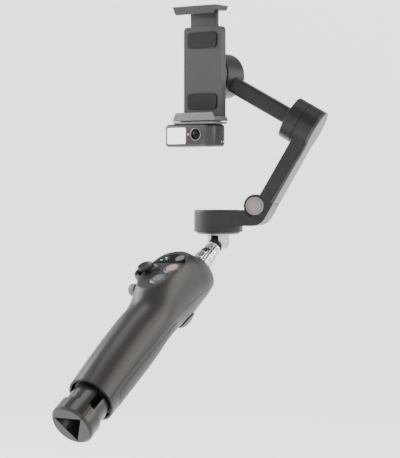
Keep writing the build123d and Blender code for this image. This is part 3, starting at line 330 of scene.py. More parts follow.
# ---- finishes ----
@dataclass(frozen=True)
class Finish:
    """A surface finish, as shader numbers and the scale and depth of its own texture."""

    colour: Triple
    roughness: float
    metallic: float = 0.0
    coat: float = 0.0
    coat_roughness: float = 0.12
    shine: float = 0.24           # specular level
    mottle: float = 0.12          # how far the colour wanders, as a share
    mottle_scale: float = 60.0    # per metre
    mottle_detail: float = 3.0
    grain_scale: float = 2600.0   # per metre
    grain_detail: float = 2.0
    grain_depth: float = 0.08     # strength of the bump; 0 leaves it out
    grain_height: float = 0.0002  # metres
    scuff: float = 0.12           # how far the roughness wanders, as a share
    glow: float = 0.0

    @staticmethod
    def noise(tree: bpy.types.NodeTree, place: bpy.types.Node, scale: float, detail: float) -> bpy.types.Node:
        """A noise node on Object coordinates.

        Args:
            tree: the material's nodes.
            place: its Texture Coordinate node.
            scale: the noise's scale, per metre.
            detail: its octaves.

        Returns:
            The node.
        """
        made = tree.nodes.new("ShaderNodeTexNoise")
        made.inputs["Scale"].default_value = scale
        made.inputs["Detail"].default_value = detail
        tree.links.new(place.outputs["Object"], made.inputs["Vector"])
        return made

    def build(self, name: str) -> bpy.types.Material:
        """Makes the node material: wandering colour and roughness, and a fine grain as bump.

        Args:
            name: the material's name.

        Returns:
            The material.
        """
        material = bpy.data.materials.new(name)
        material.use_nodes = True
        tree = material.node_tree
        shader = tree.nodes["Principled BSDF"]
        for socket, number in (("Metallic", self.metallic), ("Coat Weight", self.coat),
                               ("Coat Roughness", self.coat_roughness), ("Specular IOR Level", self.shine)):
            shader.inputs[socket].default_value = number
        place = tree.nodes.new("ShaderNodeTexCoord")
        cloud = self.noise(tree, place, self.mottle_scale, self.mottle_detail)
        grain = self.noise(tree, place, self.grain_scale, self.grain_detail)
        ramp = tree.nodes.new("ShaderNodeValToRGB")
        low, high = ramp.color_ramp.elements
        low.position, high.position = 0.3, 0.7
        for stop, share in ((low, 1 - self.mottle), (high, 1 + self.mottle)):
            stop.color = (*[min(1.0, c * share) for c in self.colour], 1.0)
        tree.links.new(cloud.outputs["Fac"], ramp.inputs["Fac"])
        tree.links.new(ramp.outputs["Color"], shader.inputs["Base Color"])
        spread = tree.nodes.new("ShaderNodeMapRange")
        spread.inputs["To Min"].default_value = self.roughness * (1 - self.scuff)
        spread.inputs["To Max"].default_value = min(1.0, self.roughness * (1 + self.scuff))
        tree.links.new(grain.outputs["Fac"], spread.inputs["Value"])
        tree.links.new(spread.outputs["Result"], shader.inputs["Roughness"])
        if self.grain_depth > 0:
            bump = tree.nodes.new("ShaderNodeBump")
            bump.inputs["Strength"].default_value = self.grain_depth
            bump.inputs["Distance"].default_value = self.grain_height
            tree.links.new(grain.outputs["Fac"], bump.inputs["Height"])
            tree.links.new(bump.outputs["Normal"], shader.inputs["Normal"])
        if self.glow > 0:
            shader.inputs["Emission Strength"].default_value = self.glow
            shader.inputs["Emission Color"].default_value = (*self.colour, 1.0)
        return material


@unique
class Look(Enum):
    """Every finish on the object, by the record's material slot."""

    grip_plastic = Finish((0.0165, 0.0158, 0.0150), 0.40, coat=0.05, mottle=0.10)
    pad_plastic = Finish((0.0150, 0.0142, 0.0134), 0.48, mottle=0.12, grain_depth=0.14)
    arm_paint = Finish((0.0090, 0.0090, 0.0095), 0.34, grain_scale=4200.0, shine=0.25)
    cover_silver = Finish((0.052, 0.050, 0.047), 0.34, metallic=0.5, mottle=0.06)
    pivot_silver = Finish((0.185, 0.168, 0.155), 0.36, metallic=0.85, mottle=0.08)
    rod_chrome = Finish((0.42, 0.42, 0.42), 0.14, metallic=1.0, mottle=0.10, grain_depth=0.01)
    # The rims' finish: a brighter, smoother copy of the rod's chrome, which paints the bright highlight rings
    # where the rims catch the light
    rim_chrome = Finish((0.86, 0.86, 0.87), 0.10, metallic=1.0, mottle=0.03, grain_depth=0.01)
    fork_metal = Finish((0.42, 0.41, 0.40), 0.30, metallic=0.9, mottle=0.08)
    steel = Finish((0.55, 0.55, 0.55), 0.25, metallic=1.0)
    # The button collars' finish: a lighter copy of the grip's plastic, which paints the thin bright highlight
    # ring round each button
    collar_satin = Finish((0.045, 0.045, 0.046), 0.36, coat=0.05, mottle=0.05)
    ring_bright = Finish((0.45, 0.45, 0.46), 0.18, metallic=0.9, mottle=0.05)
    inner_plastic = Finish((0.010, 0.010, 0.010), 0.45)
    motor_core = Finish((0.25, 0.14, 0.09), 0.5, metallic=0.4)
    display_gloss = Finish((0.0015, 0.0015, 0.0018), 0.16, grain_depth=0.0, shine=0.10)
    button_silver = Finish((0.085, 0.085, 0.085), 0.42, metallic=0.1)
    record_silver = Finish((0.24, 0.235, 0.23), 0.30, metallic=0.2)
    knurl_black = Finish((0.008, 0.008, 0.009), 0.38)
    wheel_grey = Finish((0.09, 0.09, 0.09), 0.42)
    board_green = Finish((0.02, 0.10, 0.05), 0.5)
    cell_wrap = Finish((0.08, 0.20, 0.26), 0.35)
    jaw_dark = Finish((0.022, 0.022, 0.023), 0.42, mottle=0.08)
    jaw_silver = Finish((0.105, 0.105, 0.107), 0.36, metallic=0.35)
    pad_rubber = Finish((0.008, 0.008, 0.008), 0.75, grain_depth=0.3, grain_scale=1500.0, shine=0.2)
    foot_gloss = Finish((0.0125, 0.0122, 0.0105), 0.30, coat=0.10)
    module_plastic = Finish((0.022, 0.022, 0.023), 0.34, coat=0.08)
    lamp_diffuser = Finish((0.86, 0.86, 0.84), 0.35, coat=0.3, mottle=0.02, glow=0.5)
    lens_black = Finish((0.002, 0.002, 0.002), 0.35, grain_depth=0.02, shine=0.04)
    lens_glass = Finish((0.002, 0.002, 0.004), 0.05, grain_depth=0.0, shine=0.12)
    pilot_orange = Finish((0.85, 0.20, 0.03), 0.35, glow=0.5)
    signal_red = Finish((0.62, 0.12, 0.03), 0.35, coat=0.2)
    signal_green = Finish((0.05, 0.65, 0.15), 0.4, glow=0.9)
    signal_white = Finish((0.8, 0.8, 0.8), 0.4, glow=0.6)


class Dresser:
    """Gives pieces and carried-over nodes their finish, and tells the frame what they ride on."""

    def __init__(self) -> None:
        """Starts with no material made."""
        self.made: dict[Look, bpy.types.Material] = {}

    def material(self, look: Look) -> bpy.types.Material:
        """The material of a look, made once."""
        if look not in self.made:
            self.made[look] = look.value.build(look.name)
        return self.made[look]

    def piece(self, made: bpy.types.Object, look: Look, body: str, slot: str = "",
              replaces: tuple[str, ...] = ()) -> None:
        """Finishes a new piece.

        Args:
            made: the piece.
            look: its finish.
            body: the body that it rides on.
            slot: the record's slot, where it isn't the look's own name. Not used.
            replaces: the nodes that it stands for.
        """
        made.data.materials.append(self.material(look))
        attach(made, body)
        if replaces:
            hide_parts(*replaces)
        LOG.info("piece %s on %s", made.name, body)

    def nodes(self, look: Look, *names: str, edge: float = 0.0, segments: int = 2) -> None:
        """Carries over solids as they are, with rounded edges and their finish.

        Args:
            look: their finish.
            *names: the nodes.
            edge: how far their sharp edges are rounded, in millimetres; 0 leaves them.
            segments: steps across a rounded edge.
        """
        for name in names:
            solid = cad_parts[name]
            for slot in solid.material_slots:
                slot.material = self.material(look)
            solid.data.polygons.foreach_set("use_smooth", np.ones(len(solid.data.polygons), bool))
            solid.modifiers.new("weld", "WELD").merge_threshold = WELD_DISTANCE
            if edge > 0:
                flat = solid.modifiers.new("flat", "DECIMATE")
                flat.decimate_type, flat.angle_limit = "DISSOLVE", FLAT_ANGLE
                bevel = solid.modifiers.new("edges", "BEVEL")
                bevel.width, bevel.segments, bevel.limit_method = edge * MM, segments, "ANGLE"
                bevel.angle_limit = EDGE_ANGLE
            solid.modifiers.new("normals", "WEIGHTED_NORMAL").weight = NORMAL_WEIGHT
            LOG.info("node %s as %s", name, look.name)


# ---- studio ----
@dataclass(frozen=True)
class Lamp:
    """A square soft light: its place and side in metres, and its power in watts."""

    name: str
    place: Triple
    size: float
    power: float
    colour: Triple

    def build(self, aim: Triple) -> None:
        """Makes the light, turned to face a point.

        Args:
            aim: the point, in metres.
        """
        data = bpy.data.lights.new(self.name, "AREA")
        data.size, data.energy, data.color = self.size, self.power, self.colour
        lamp = bpy.data.objects.new(self.name, data)
        bpy.context.scene.collection.objects.link(lamp)
        lamp.location = self.place
        lamp.rotation_euler = (Vector(aim) - Vector(self.place)).to_track_quat("-Z", "Y").to_euler()


@dataclass
class Studio:
    """Camera, soft lights and a pale floor. Lengths are metres and angles degrees."""

    lens: float = 138.3
    sensor: float = 36.0
    eye: Triple = (0.7554, -0.99181, 0.11087)
    heading: float = 35.0
    pitch: float = -1.07
    clip: Pair = (0.05, 50.0)
    floor_height: float = -0.30
    flat_reach: float = 2.2
    sweep: float = 1.6
    floor_glow: float = 1.1
    sky: tuple = (0.93, 0.95, 1.0, 1.0)
    sky_strength: float = 0.7
    aim: Triple = (0.0, 0.05, 0.1)
    lamps: tuple[Lamp, ...] = (
        Lamp("key", (-1.35, -0.35, 0.8), 1.3, 62.0, (0.93, 0.97, 1.0)),
        Lamp("front", (-0.5, -1.6, 0.8), 0.7, 7.0, (1.0, 1.0, 1.0)),
        Lamp("side", (1.2, 0.7, 0.6), 0.9, 15.0, (1.0, 0.90, 0.80)),
        Lamp("top", (0.1, 0.1, 1.7), 0.8, 12.0, (1.0, 1.0, 1.0)),
    )

    def build(self) -> None:
        """Makes the camera, the floor, the surroundings and the lights."""
        self.camera()
        self.floor()
        world = bpy.data.worlds.new("surroundings")
        bpy.context.scene.world = world
        world.use_nodes = True
        background = world.node_tree.nodes["Background"]
        background.inputs["Color"].default_value = self.sky
        background.inputs["Strength"].default_value = self.sky_strength
        for lamp in self.lamps:
            lamp.build(self.aim)

    def camera(self) -> None:
        """The camera: it looks along heading round z and pitch over the floor, upright."""
        scene = bpy.context.scene
        data = bpy.data.cameras.new("camera")
        data.lens, data.sensor_width = self.lens, self.sensor
        data.clip_start, data.clip_end = self.clip
        camera = bpy.data.objects.new("camera", data)
        scene.collection.objects.link(camera)
        a, p = math.radians(self.heading), math.radians(self.pitch)
        look = Vector((-math.sin(a) * math.cos(p), math.cos(a) * math.cos(p), math.sin(p)))
        camera.location = self.eye
        camera.rotation_euler = look.to_track_quat("-Z", "Y").to_euler()
        scene.camera = camera

    def floor(self) -> None:
        """A wide pale floor below the object, that sweeps up into a wall all round.

        Its profile is flat up to flat_reach and then a quarter circle of radius sweep.
        """
        turn = np.linspace(0, np.pi / 2, 40)
        reach = np.concatenate([[0.0, 1.0], self.flat_reach + self.sweep * np.sin(turn)])
        rise = np.concatenate([[0.0, 0.0], self.sweep * (1 - np.cos(turn))]) + self.floor_height
        angle = np.linspace(0, 2 * np.pi, 96, endpoint=False)
        points = np.stack([reach[:, None] * np.cos(angle), reach[:, None] * np.sin(angle),
                           rise[:, None] + 0 * angle[None, :]], axis=-1)
        floor = grid("floor", points, around=True)
        pale = Finish((0.93, 0.93, 0.93), 0.9, mottle=0.01, grain_depth=0.0, glow=self.floor_glow, shine=0.1)
        floor.data.materials.append(pale.build("floor"))


# ---- handle ----
@dataclass
class Handle:
    """The leaning grip: casing halves, palm pad, trigger and what shows at its mouth.

    Heights are on the handle's axis, down from the head's hinge.
    """

    dresser: Dresser
    # The casing's outside: half its width, and its reach to the trigger's and the thumb's side
    heights: tuple = (-35.0, -37.5, -43.0, -56.0, -74.0, -88.0, -103.0, -125.0, -160.0, -188.0)
    half_widths: tuple = (12.6, 15.2, 17.0, 17.4, 17.5, 17.3, 17.2, 17.4, 17.4, 17.3)
    trigger_sides: tuple = (14.8, 18.0, 19.4, 21.0, 20.8, 17.5, 16.0, 17.6, 18.0, 17.6)
    thumb_sides: tuple = (12.6, 15.0, 21.8, 37.0, 39.0, 33.0, 24.3, 23.4, 21.7, 19.0)
    crease: float = 0.9
    # The seam between its halves, and its wall, mouth and hole for the rod
    seam_heights: tuple = (-27.0, -52.0, -79.0, -122.0, -152.0, -191.0)
    seam_depths: tuple = (12.0, 7.0, 1.5, -2.6, -3.6, -2.6)
    seam_gap: float = 0.12
    mean_half_width: float = 17.0
    wall: float = 1.3
    wall_rim: float = 0.3
    mouth_share: float = 0.915
    mouth_depth: float = 9.0
    rod_hole: float = 9.15
    hole_rise: float = 0.5
    sleeve: Profile = ((8.05, -93.0), (9.0, -93.0), (9.0, -35.0), (8.8, -34.6), (8.2, -34.6), (8.05, -34.9),
                       (8.05, -93.0))
    # The palm pad
    pad_heights: Pair = (-178.6, -91.6)
    pad_margin: float = 3.4
    pad_orders: Pair = (9.0, 24.0)
    pad_proud: float = 0.22
    pad_sunk_rim: float = 0.1
    pad_wall: Pair = (0.7, 0.2)
    # The trigger
    trigger_middle: float = -73.6
    trigger_half: float = 9.0
    trigger_half_width: float = 11.4
    trigger_corner: float = 6.5
    trigger_proud: float = 0.5
    trigger_swell: float = 3.0
    trigger_flare: float = 0.12
    swell_half: Pair = (12.5, 9.4)
    trigger_wall: Pair = (1.8, 0.6)
    # The socket: its middle, and half width, half height, corner, foot and top of each layer
    port_at: Triple = (-17.2, -5.0, -100.0)
    port_layers: tuple = (("port_rim", Look.steel, 5.2, 2.1, 2.05, -0.8, 0.14, 0.12),
                          # The mouth layer is a flat dark sheet that paints the shade inside the socket's
                          # opening
                          ("port_mouth", Look.inner_plastic, 4.6, 1.5, 1.45, -0.6, 0.18, 0.05),
                          ("port_tongue", Look.pad_rubber, 3.5, 0.35, 0.3, -0.2, 0.24, 0.05))

    def sides(self, height: np.ndarray) -> tuple[np.ndarray, np.ndarray]:
        """The casing's reach to the trigger's side and to the thumb's side at each height."""
        return (smooth_curve(height, self.heights, self.trigger_sides),
                smooth_curve(height, self.heights, self.thumb_sides))

    def surface(self, angle: np.ndarray, height: np.ndarray, inset: np.ndarray | float = 0.0) -> np.ndarray:
        """The casing's outside.

        At each height it is an ellipse, x = a cos(angle) and y = c + b sin(angle), whose thumb side is
        pressed back to the panel's plane by the smooth positive part of its height over that plane.

        Args:
            angle: angle round the handle, 90 degrees at the trigger.
            height: height on the handle's axis.
            inset: distance inside the casing's outside.

        Returns:
            Points in the handle's axes.
        """
        half = smooth_curve(height, self.heights, self.half_widths) - inset
        trigger, thumb = (side - inset for side in self.sides(height))
        depth = (trigger - thumb) / 2 + (trigger + thumb) / 2 * np.sin(angle)
        over = (-(depth + PANEL_DEPTH - inset) * math.cos(PANEL_LEAN)
                + (height - PANEL_HEIGHT) * math.sin(PANEL_LEAN))
        depth = depth + (over + np.sqrt(over**2 + self.crease**2)) / 2 / math.cos(PANEL_LEAN)
        return np.stack([half * np.cos(angle), depth, height], axis=-1)

    def seam_angle(self, height: np.ndarray, margin: float = 0.0) -> np.ndarray:
        """The angle at which the casing crosses its seam.

        It is the arcsine of the seam's depth from the ellipse's middle over the ellipse's half depth.

        Args:
            height: height on the handle's axis.
            margin: how far the seam is moved towards the trigger.

        Returns:
            The angle at each height.
        """
        trigger, thumb = self.sides(height)
        depth = smooth_curve(height, self.seam_heights, self.seam_depths) + margin
        return np.arcsin(np.clip((depth - (trigger - thumb) / 2) / ((trigger + thumb) / 2), -0.999, 0.999))

    def half(self, name: str, side: Side, rows: int = 260, columns: int = 150) -> bpy.types.Object:
        """One half of the casing between its two seam lines, with a turned-in top and mouth.

        Args:
            name: the piece's name.
            side: FRONT for the trigger's half, BACK for the thumb's.
            rows: steps up the handle.
            columns: steps across.

        Returns:
            The piece, with its wall.
        """
        height = np.linspace(self.heights[-1], self.heights[0], rows)[:, None]
        share = np.linspace(0, 1, columns)[None, :]
        seam = self.seam_angle(height)
        gap = self.seam_gap / self.mean_half_width
        if side is Side.FRONT:
            angle = seam + gap + share * (np.pi - 2 * (seam + gap))
        else:
            angle = np.pi - seam + gap + share * (np.pi + 2 * (seam - gap))
        body = self.surface(angle, height + 0 * share)
        # The mouth turns inside in two rows, and the top goes level to the rod's hole in one
        lip = body[:1].copy()
        lip[..., :2] *= self.mouth_share
        inside = lip.copy()
        inside[..., 2] += self.mouth_depth
        top = body[-1:]
        to_hole = self.rod_hole / np.linalg.norm(top[..., :2], axis=-1, keepdims=True)
        rim = np.concatenate([top[..., :2] * to_hole, top[..., 2:] + self.hole_rise], axis=-1)
        points = np.concatenate([inside, lip, body, rim])
        return walled(grid(name, HANDLE.place(points)), self.wall, self.wall_rim)

    def pad(self) -> bpy.types.Object:
        """The palm pad: a sheet a little proud of the trigger's half, with round corners.

        Its edge is a superellipse of pad_orders in share of width and height, filled from the middle.

        Returns:
            The piece, with its wall.
        """
        turn = np.linspace(0, 2 * np.pi, 220, endpoint=False)[None, :]
        # Shares of the way out; the last two rows are the rim that sinks into the casing
        rim = 0.99
        out = np.concatenate([np.linspace(0, 0.985, 60), [0.9925, 1.0]])[:, None]
        across, along = self.pad_orders
        u = np.sign(np.cos(turn)) * np.abs(np.cos(turn)) ** (2 / across) * out
        v = np.sign(np.sin(turn)) * np.abs(np.sin(turn)) ** (2 / along) * out
        low, high = self.pad_heights
        height = (low + high) / 2 + v * (high - low) / 2
        seam = self.seam_angle(height, self.pad_margin)
        angle = np.pi / 2 + u * (np.pi / 2 - seam)
        inset = np.where(out > rim, self.pad_sunk_rim, -self.pad_proud)
        points = self.surface(angle, height, inset + 0 * turn)
        return walled(grid("palm_inlay", HANDLE.place(points), around=True), *self.pad_wall)

    def trigger(self) -> bpy.types.Object:
        """The trigger's lobe, which swells out of the casing under a fingertip.

        Its outline is a rounded rectangle filled from the middle. Its depth is the casing's own,
        c + b sqrt(1 - (x/a)^2), plus a swell that falls off as 1 - (height/half height)^2 times
        1 - (x/half width)^2.

        Returns:
            The piece, with its wall.
        """
        outline = rounded_outline(self.trigger_half_width, self.trigger_half, self.trigger_corner, 24)[None]
        share = np.linspace(0, 1, 40)[:, None, None]
        x, height = np.moveaxis(outline * share, -1, 0)
        level = height + self.trigger_middle
        half = smooth_curve(level, self.heights, self.half_widths)
        front, back = self.sides(level)
        swell = (1 - (height / self.swell_half[1]) ** 2) * (1 - (x / self.swell_half[0]) ** 2)
        depth = ((front - back) / 2 + (front + back) / 2 * np.sqrt(1 - (x / half) ** 2)
                 + self.trigger_proud + self.trigger_swell * swell)
        points = np.stack([x * (1 + self.trigger_flare * swell), depth, level], axis=-1)
        return walled(grid("trigger_blade", HANDLE.place(points), around=True), *self.trigger_wall)

    def port(self) -> None:
        """The socket's mouth on the side: a thin metal rim, a dark sheet that paints the shade inside its
        opening, and its tongue.
        """
        side = HANDLE.at(*self.port_at).facing(-X, UP_HANDLE)
        for name, look, *size in self.port_layers:
            self.dresser.piece(pillow(name, side, *size), look, "handle")

    def build(self) -> None:
        """Makes every piece of the handle and dresses what shows inside it."""
        d = self.dresser
        d.piece(self.half("casing_rear", Side.BACK), Look.grip_plastic, "handle", replaces=("rear_shell",))
        d.piece(self.half("casing_front", Side.FRONT), Look.grip_plastic, "handle", replaces=("front_cover",))
        d.piece(self.pad(), Look.pad_plastic, "handle", replaces=("palm_pad",))
        d.piece(self.trigger(), Look.grip_plastic, "trigger_lever", replaces=("trigger",))
        self.port()
        sleeve = revolve("rod_guide", HANDLE, self.sleeve)
        d.piece(sleeve, Look.inner_plastic, "handle", replaces=("rod_tube",))
        d.nodes(Look.inner_plastic, "battery_cradle", "tripod_guide", edge=0.2)
        d.nodes(Look.cell_wrap, "battery")
        d.nodes(Look.steel, "usb_socket", "board_screws", "trigger_pin")
        d.nodes(Look.board_green, "control_board")


# ---- controls ----
@dataclass
class Controls:
    """Joystick, buttons, status display and zoom wheel on the thumb panel.

    Places are (x, y) on the panel's axes, and profiles' heights are over the panel.
    """

    dresser: Dresser
    stick: Pair = (-11.5, -23.5)
    record: Pair = (8.0, -18.8)
    switch: Pair = (4.8, -33.0)
    mode: Pair = (7.0, -5.4)
    wheel: Triple = (-14.2, -19.5, -87.8)
    # Buttons: radius of each cap, of two collars, and the collars' height and foot
    record_radius: float = 4.6
    switch_radius: float = 4.3
    mode_radius: float = 3.5
    collar_radii: Pair = (4.7, 4.4)
    collar_height: float = 0.85
    collar_foot: float = -0.6
    cap_foot: float = -3.2
    dot_profile: Profile = ((0.0, 0.66), (2.1, 0.66), (2.1, 0.83), (1.8, 0.9), (0.0, 0.88))
    # Display: half its width, its straight lower edge, how far its arc rises, and its marks as
    # (x, y, half width, finish)
    display_half: float = 14.2
    display_low: float = -11.5
    display_rise: float = 12.2
    marks: tuple = ((-8.2, -8.0, 1.1, Look.signal_green), (-4.4, -7.0, 0.7, Look.signal_green),
                    (-6.0, -4.6, 0.6, Look.signal_white))
    mark_half: float = 0.45
    # Joystick: pod, bowl and knob
    pod: Profile = ((8.4, -10.8), (9.0, -8.0), (9.7, -2.0), (9.9, -0.4), (9.5, 0.5), (8.9, 0.9), (8.3, 0.7),
                    (7.8, 0.0), (7.0, -3.2), (4.0, -5.4), (2.6, -6.0), (2.6, -7.0), (8.4, -10.8))
    bowl: Profile = ((7.75, 0.75), (7.5, 0.9), (7.2, 0.6), (6.9, -2.6), (4.2, -4.9), (2.7, -5.4), (2.7, -5.9),
                     (4.6, -5.5), (7.3, -3.0), (7.75, 0.75))
    knob: Profile = ((0.0, -3.6), (2.1, -3.6), (2.1, 1.6), (4.0, 2.6), (5.3, 2.75), (5.8, 3.0), (6.05, 3.5),
                     (6.05, 4.6), (5.8, 5.15), (5.3, 5.45), (4.9, 5.4), (4.5, 5.1), (3.0, 4.75), (1.5, 4.55),
                     (0.0, 4.5))
    roller: Profile = ((0.0, -3.4), (1.4, -3.4), (1.4, 0.1), (4.0, 0.1), (4.55, 0.6), (4.55, 4.8), (4.1, 5.3),
                       (2.4, 5.4), (1.8, 5.1), (0.0, 5.0))

    def collar(self, name: str, place: Pair, radius: float) -> None:
        """A raised ring with a soft shoulder round a button.

        Args:
            name: the piece's name.
            place: the button's middle.
            radius: the ring's inner radius, less its clearance.
        """
        foot, height = self.collar_foot, self.collar_height
        profile = ((radius + 2.4, foot), (radius + 2.1, 0.05), (radius + 1.3, height * 0.75),
                   (radius + 0.6, height), (radius + 0.2, height - 0.1), (radius + 0.2, foot))
        ring = revolve(name, PANEL.at(*place), profile + profile[:1])
        # The collar's lighter finish is a painted highlight ring; the record gives it the grip's own plastic
        self.dresser.piece(bevelled(ring, 0.15), Look.collar_satin, "handle", slot="grip_plastic")

    def button(self, name: str, node: str, place: Pair, radius: float, look: Look, body: str) -> None:
        """A round button cap whose top is dished as the square of the distance from its middle.

        Args:
            name: the piece's name.
            node: the solid that it replaces.
            place: its middle.
            radius: its radius.
            look: its finish.
            body: the body that it rides on.
        """
        foot, flange, side_top, shoulder, dish_low, dish_rise = self.cap_foot, 0.6, 0.6, 0.85, 0.72, 0.18
        dish = [(r, dish_low + dish_rise * (r / radius) ** 2) for r in np.linspace(radius - 0.5, 0.0, 8)]
        profile = ((0.0, foot), (radius + flange, foot), (radius + flange, foot + 0.7), (radius, foot + 0.7),
                   (radius, side_top), (radius - 0.2, shoulder), *dish)
        self.dresser.piece(revolve(name, PANEL.at(*place), profile), look, body, replaces=(node,))

    def display(self) -> None:
        """The half-moon gloss display and its lit marks.

        Its outline is an arc of radius (half^2 + rise^2) / (2 rise) over a straight lower edge.
        """
        half, low, rise = self.display_half, self.display_low, self.display_rise
        radius = (half**2 + rise**2) / (2 * rise)
        spread = math.asin(half / radius)
        angle = np.linspace(-spread, spread, 60)
        arc = np.stack([radius * np.sin(angle), low + rise - radius + radius * np.cos(angle)], axis=-1)
        edge = np.linspace(half, -half, 30)[1:-1]
        outline = np.concatenate([arc, np.stack([edge, np.full(len(edge), low)], axis=-1)])
        middle = outline.mean(0)
        drawn_in = middle + (outline - middle) * 0.985
        glass = prism("display_glass", PANEL, [outline, outline, drawn_in], [-0.7, 0.06, 0.16])
        self.dresser.piece(glass, Look.display_gloss, "handle", replaces=("status_display",))
        for number, (x, y, width, look) in enumerate(self.marks, start=1):
            outlines = [rounded_outline(width, self.mark_half, 0.4, 6)] * 2
            bar = prism(f"display_mark_{number}", PANEL.at(x, y), outlines, [0.1, 0.2])
            self.dresser.piece(bar, look, "handle", slot="display_gloss")

    def joystick(self) -> None:
        """The pod, its dark bowl, and the knurled cap with its dished top."""
        d, seat = self.dresser, PANEL.at(*self.stick)
        d.piece(bevelled(revolve("joystick_pod", seat, self.pod), 0.3), Look.grip_plastic, "handle")
        bowl = revolve("joystick_bowl", seat, self.bowl)
        d.piece(bowl, Look.knurl_black, "handle", replaces=("joystick_cup",))
        knob = revolve("joystick_knob", seat, self.knob, 192, ripple=0.45, teeth=16, ripple_from=5.1)
        d.piece(knob, Look.knurl_black, "stick", replaces=("joystick_cap",))
        d.nodes(Look.inner_plastic, "joystick_yoke")

    def build(self) -> None:
        """Makes the controls."""
        self.display()
        self.joystick()
        self.collar("record_collar", self.record, self.collar_radii[0])
        self.collar("switch_collar", self.switch, self.collar_radii[1])
        self.button("record_cap", "record_button", self.record, self.record_radius, Look.record_silver,
                    "record")
        dot = revolve("record_dot", PANEL.at(*self.record), self.dot_profile, 48)
        self.dresser.piece(dot, Look.signal_red, "record", slot="record_silver")
        self.button("switch_cap", "switch_button", self.switch, self.switch_radius, Look.button_silver,
                    "changeover")
        self.button("mode_cap", "mode_button", self.mode, self.mode_radius, Look.button_silver, "mode")
        side = HANDLE.at(*self.wheel).facing(-X, UP_HANDLE)
        roller = revolve("zoom_roller", side, self.roller, 216, ripple=0.3, teeth=18, ripple_from=4.2)
        self.dresser.piece(roller, Look.wheel_grey, "wheel", slot="knurl_black", replaces=("zoom_wheel",))


# ---- rod and tripod ----
@dataclass
class Rod:
    """Four telescoping chrome tubes with shallow flutes, and the black head on top.

    Each stage has a radius, a wall and a rim height, from the widest up.
    """

    dresser: Dresser
    radii: tuple = (7.95, 7.4, 6.6, 6.0)
    walls: tuple = (0.5, 0.75, 0.55, 0.7)
    rims: tuple = (-28.0, -21.4, -15.0, -8.6)
    low: float = -91.5
    neck: float = 0.35
    flute_depth: float = 0.42
    flutes: int = 12

    def stage(self, number: int, radius: float, wall: float, rim: float) -> None:
        """One tube, as an outer and an inner surface turned about the handle's axis, and its rim.

        Args:
            number: which stage, from 1.
            radius: its outer radius.
            wall: its wall's thickness.
            rim: the height of its rim.
        """
        foot, neck, body = self.low + number, radius - self.neck, f"rod_{number}"
        profile = ((radius, foot), (radius, rim - 1.3), (neck, rim - 1.25), (neck, rim - 0.2),
                   (radius - wall, rim - 0.2), (radius - wall, foot), (radius, foot))
        tube = revolve(f"rod_sleeve_{number}", HANDLE, profile, 288, ripple=self.flute_depth,
                       teeth=self.flutes, ripple_from=radius - 0.1)
        self.dresser.piece(tube, Look.rod_chrome, body, replaces=(f"rod_stage_{number}",))
        ring = ((radius - 0.38, rim - 1.3), (radius + 0.06, rim - 1.2), (radius + 0.12, rim - 0.8),
                (radius + 0.02, rim - 0.2), (radius - 0.25, rim), (radius - 0.38, rim - 0.1))
        collar = revolve(f"rod_rim_{number}", HANDLE, ring + ring[:1], 144)
        # The rim's brighter chrome is a painted highlight ring; the record gives it the rod's own chrome
        self.dresser.piece(collar, Look.rim_chrome, body, slot="rod_chrome")

    def build(self) -> None:
        """Makes the four stages and dresses the head."""
        for number, sizes in enumerate(zip(self.radii, self.walls, self.rims), start=1):
            self.stage(number, *sizes)
        self.dresser.nodes(Look.inner_plastic, "rod_head", edge=0.4)


@dataclass
class Tripod:
    """The hub and three legs that close into the foot."""

    dresser: Dresser

    def build(self) -> None:
        """Dresses the hub, the pins and the legs."""
        d = self.dresser
        d.nodes(Look.foot_gloss, "tripod_hub", edge=0.3)
        d.nodes(Look.fork_metal, "thread_insert", edge=0.2)
        d.nodes(Look.steel, "leg_pins")
        d.nodes(Look.foot_gloss, "tripod_leg_1", "tripod_leg_2", "tripod_leg_3", edge=0.45, segments=3)


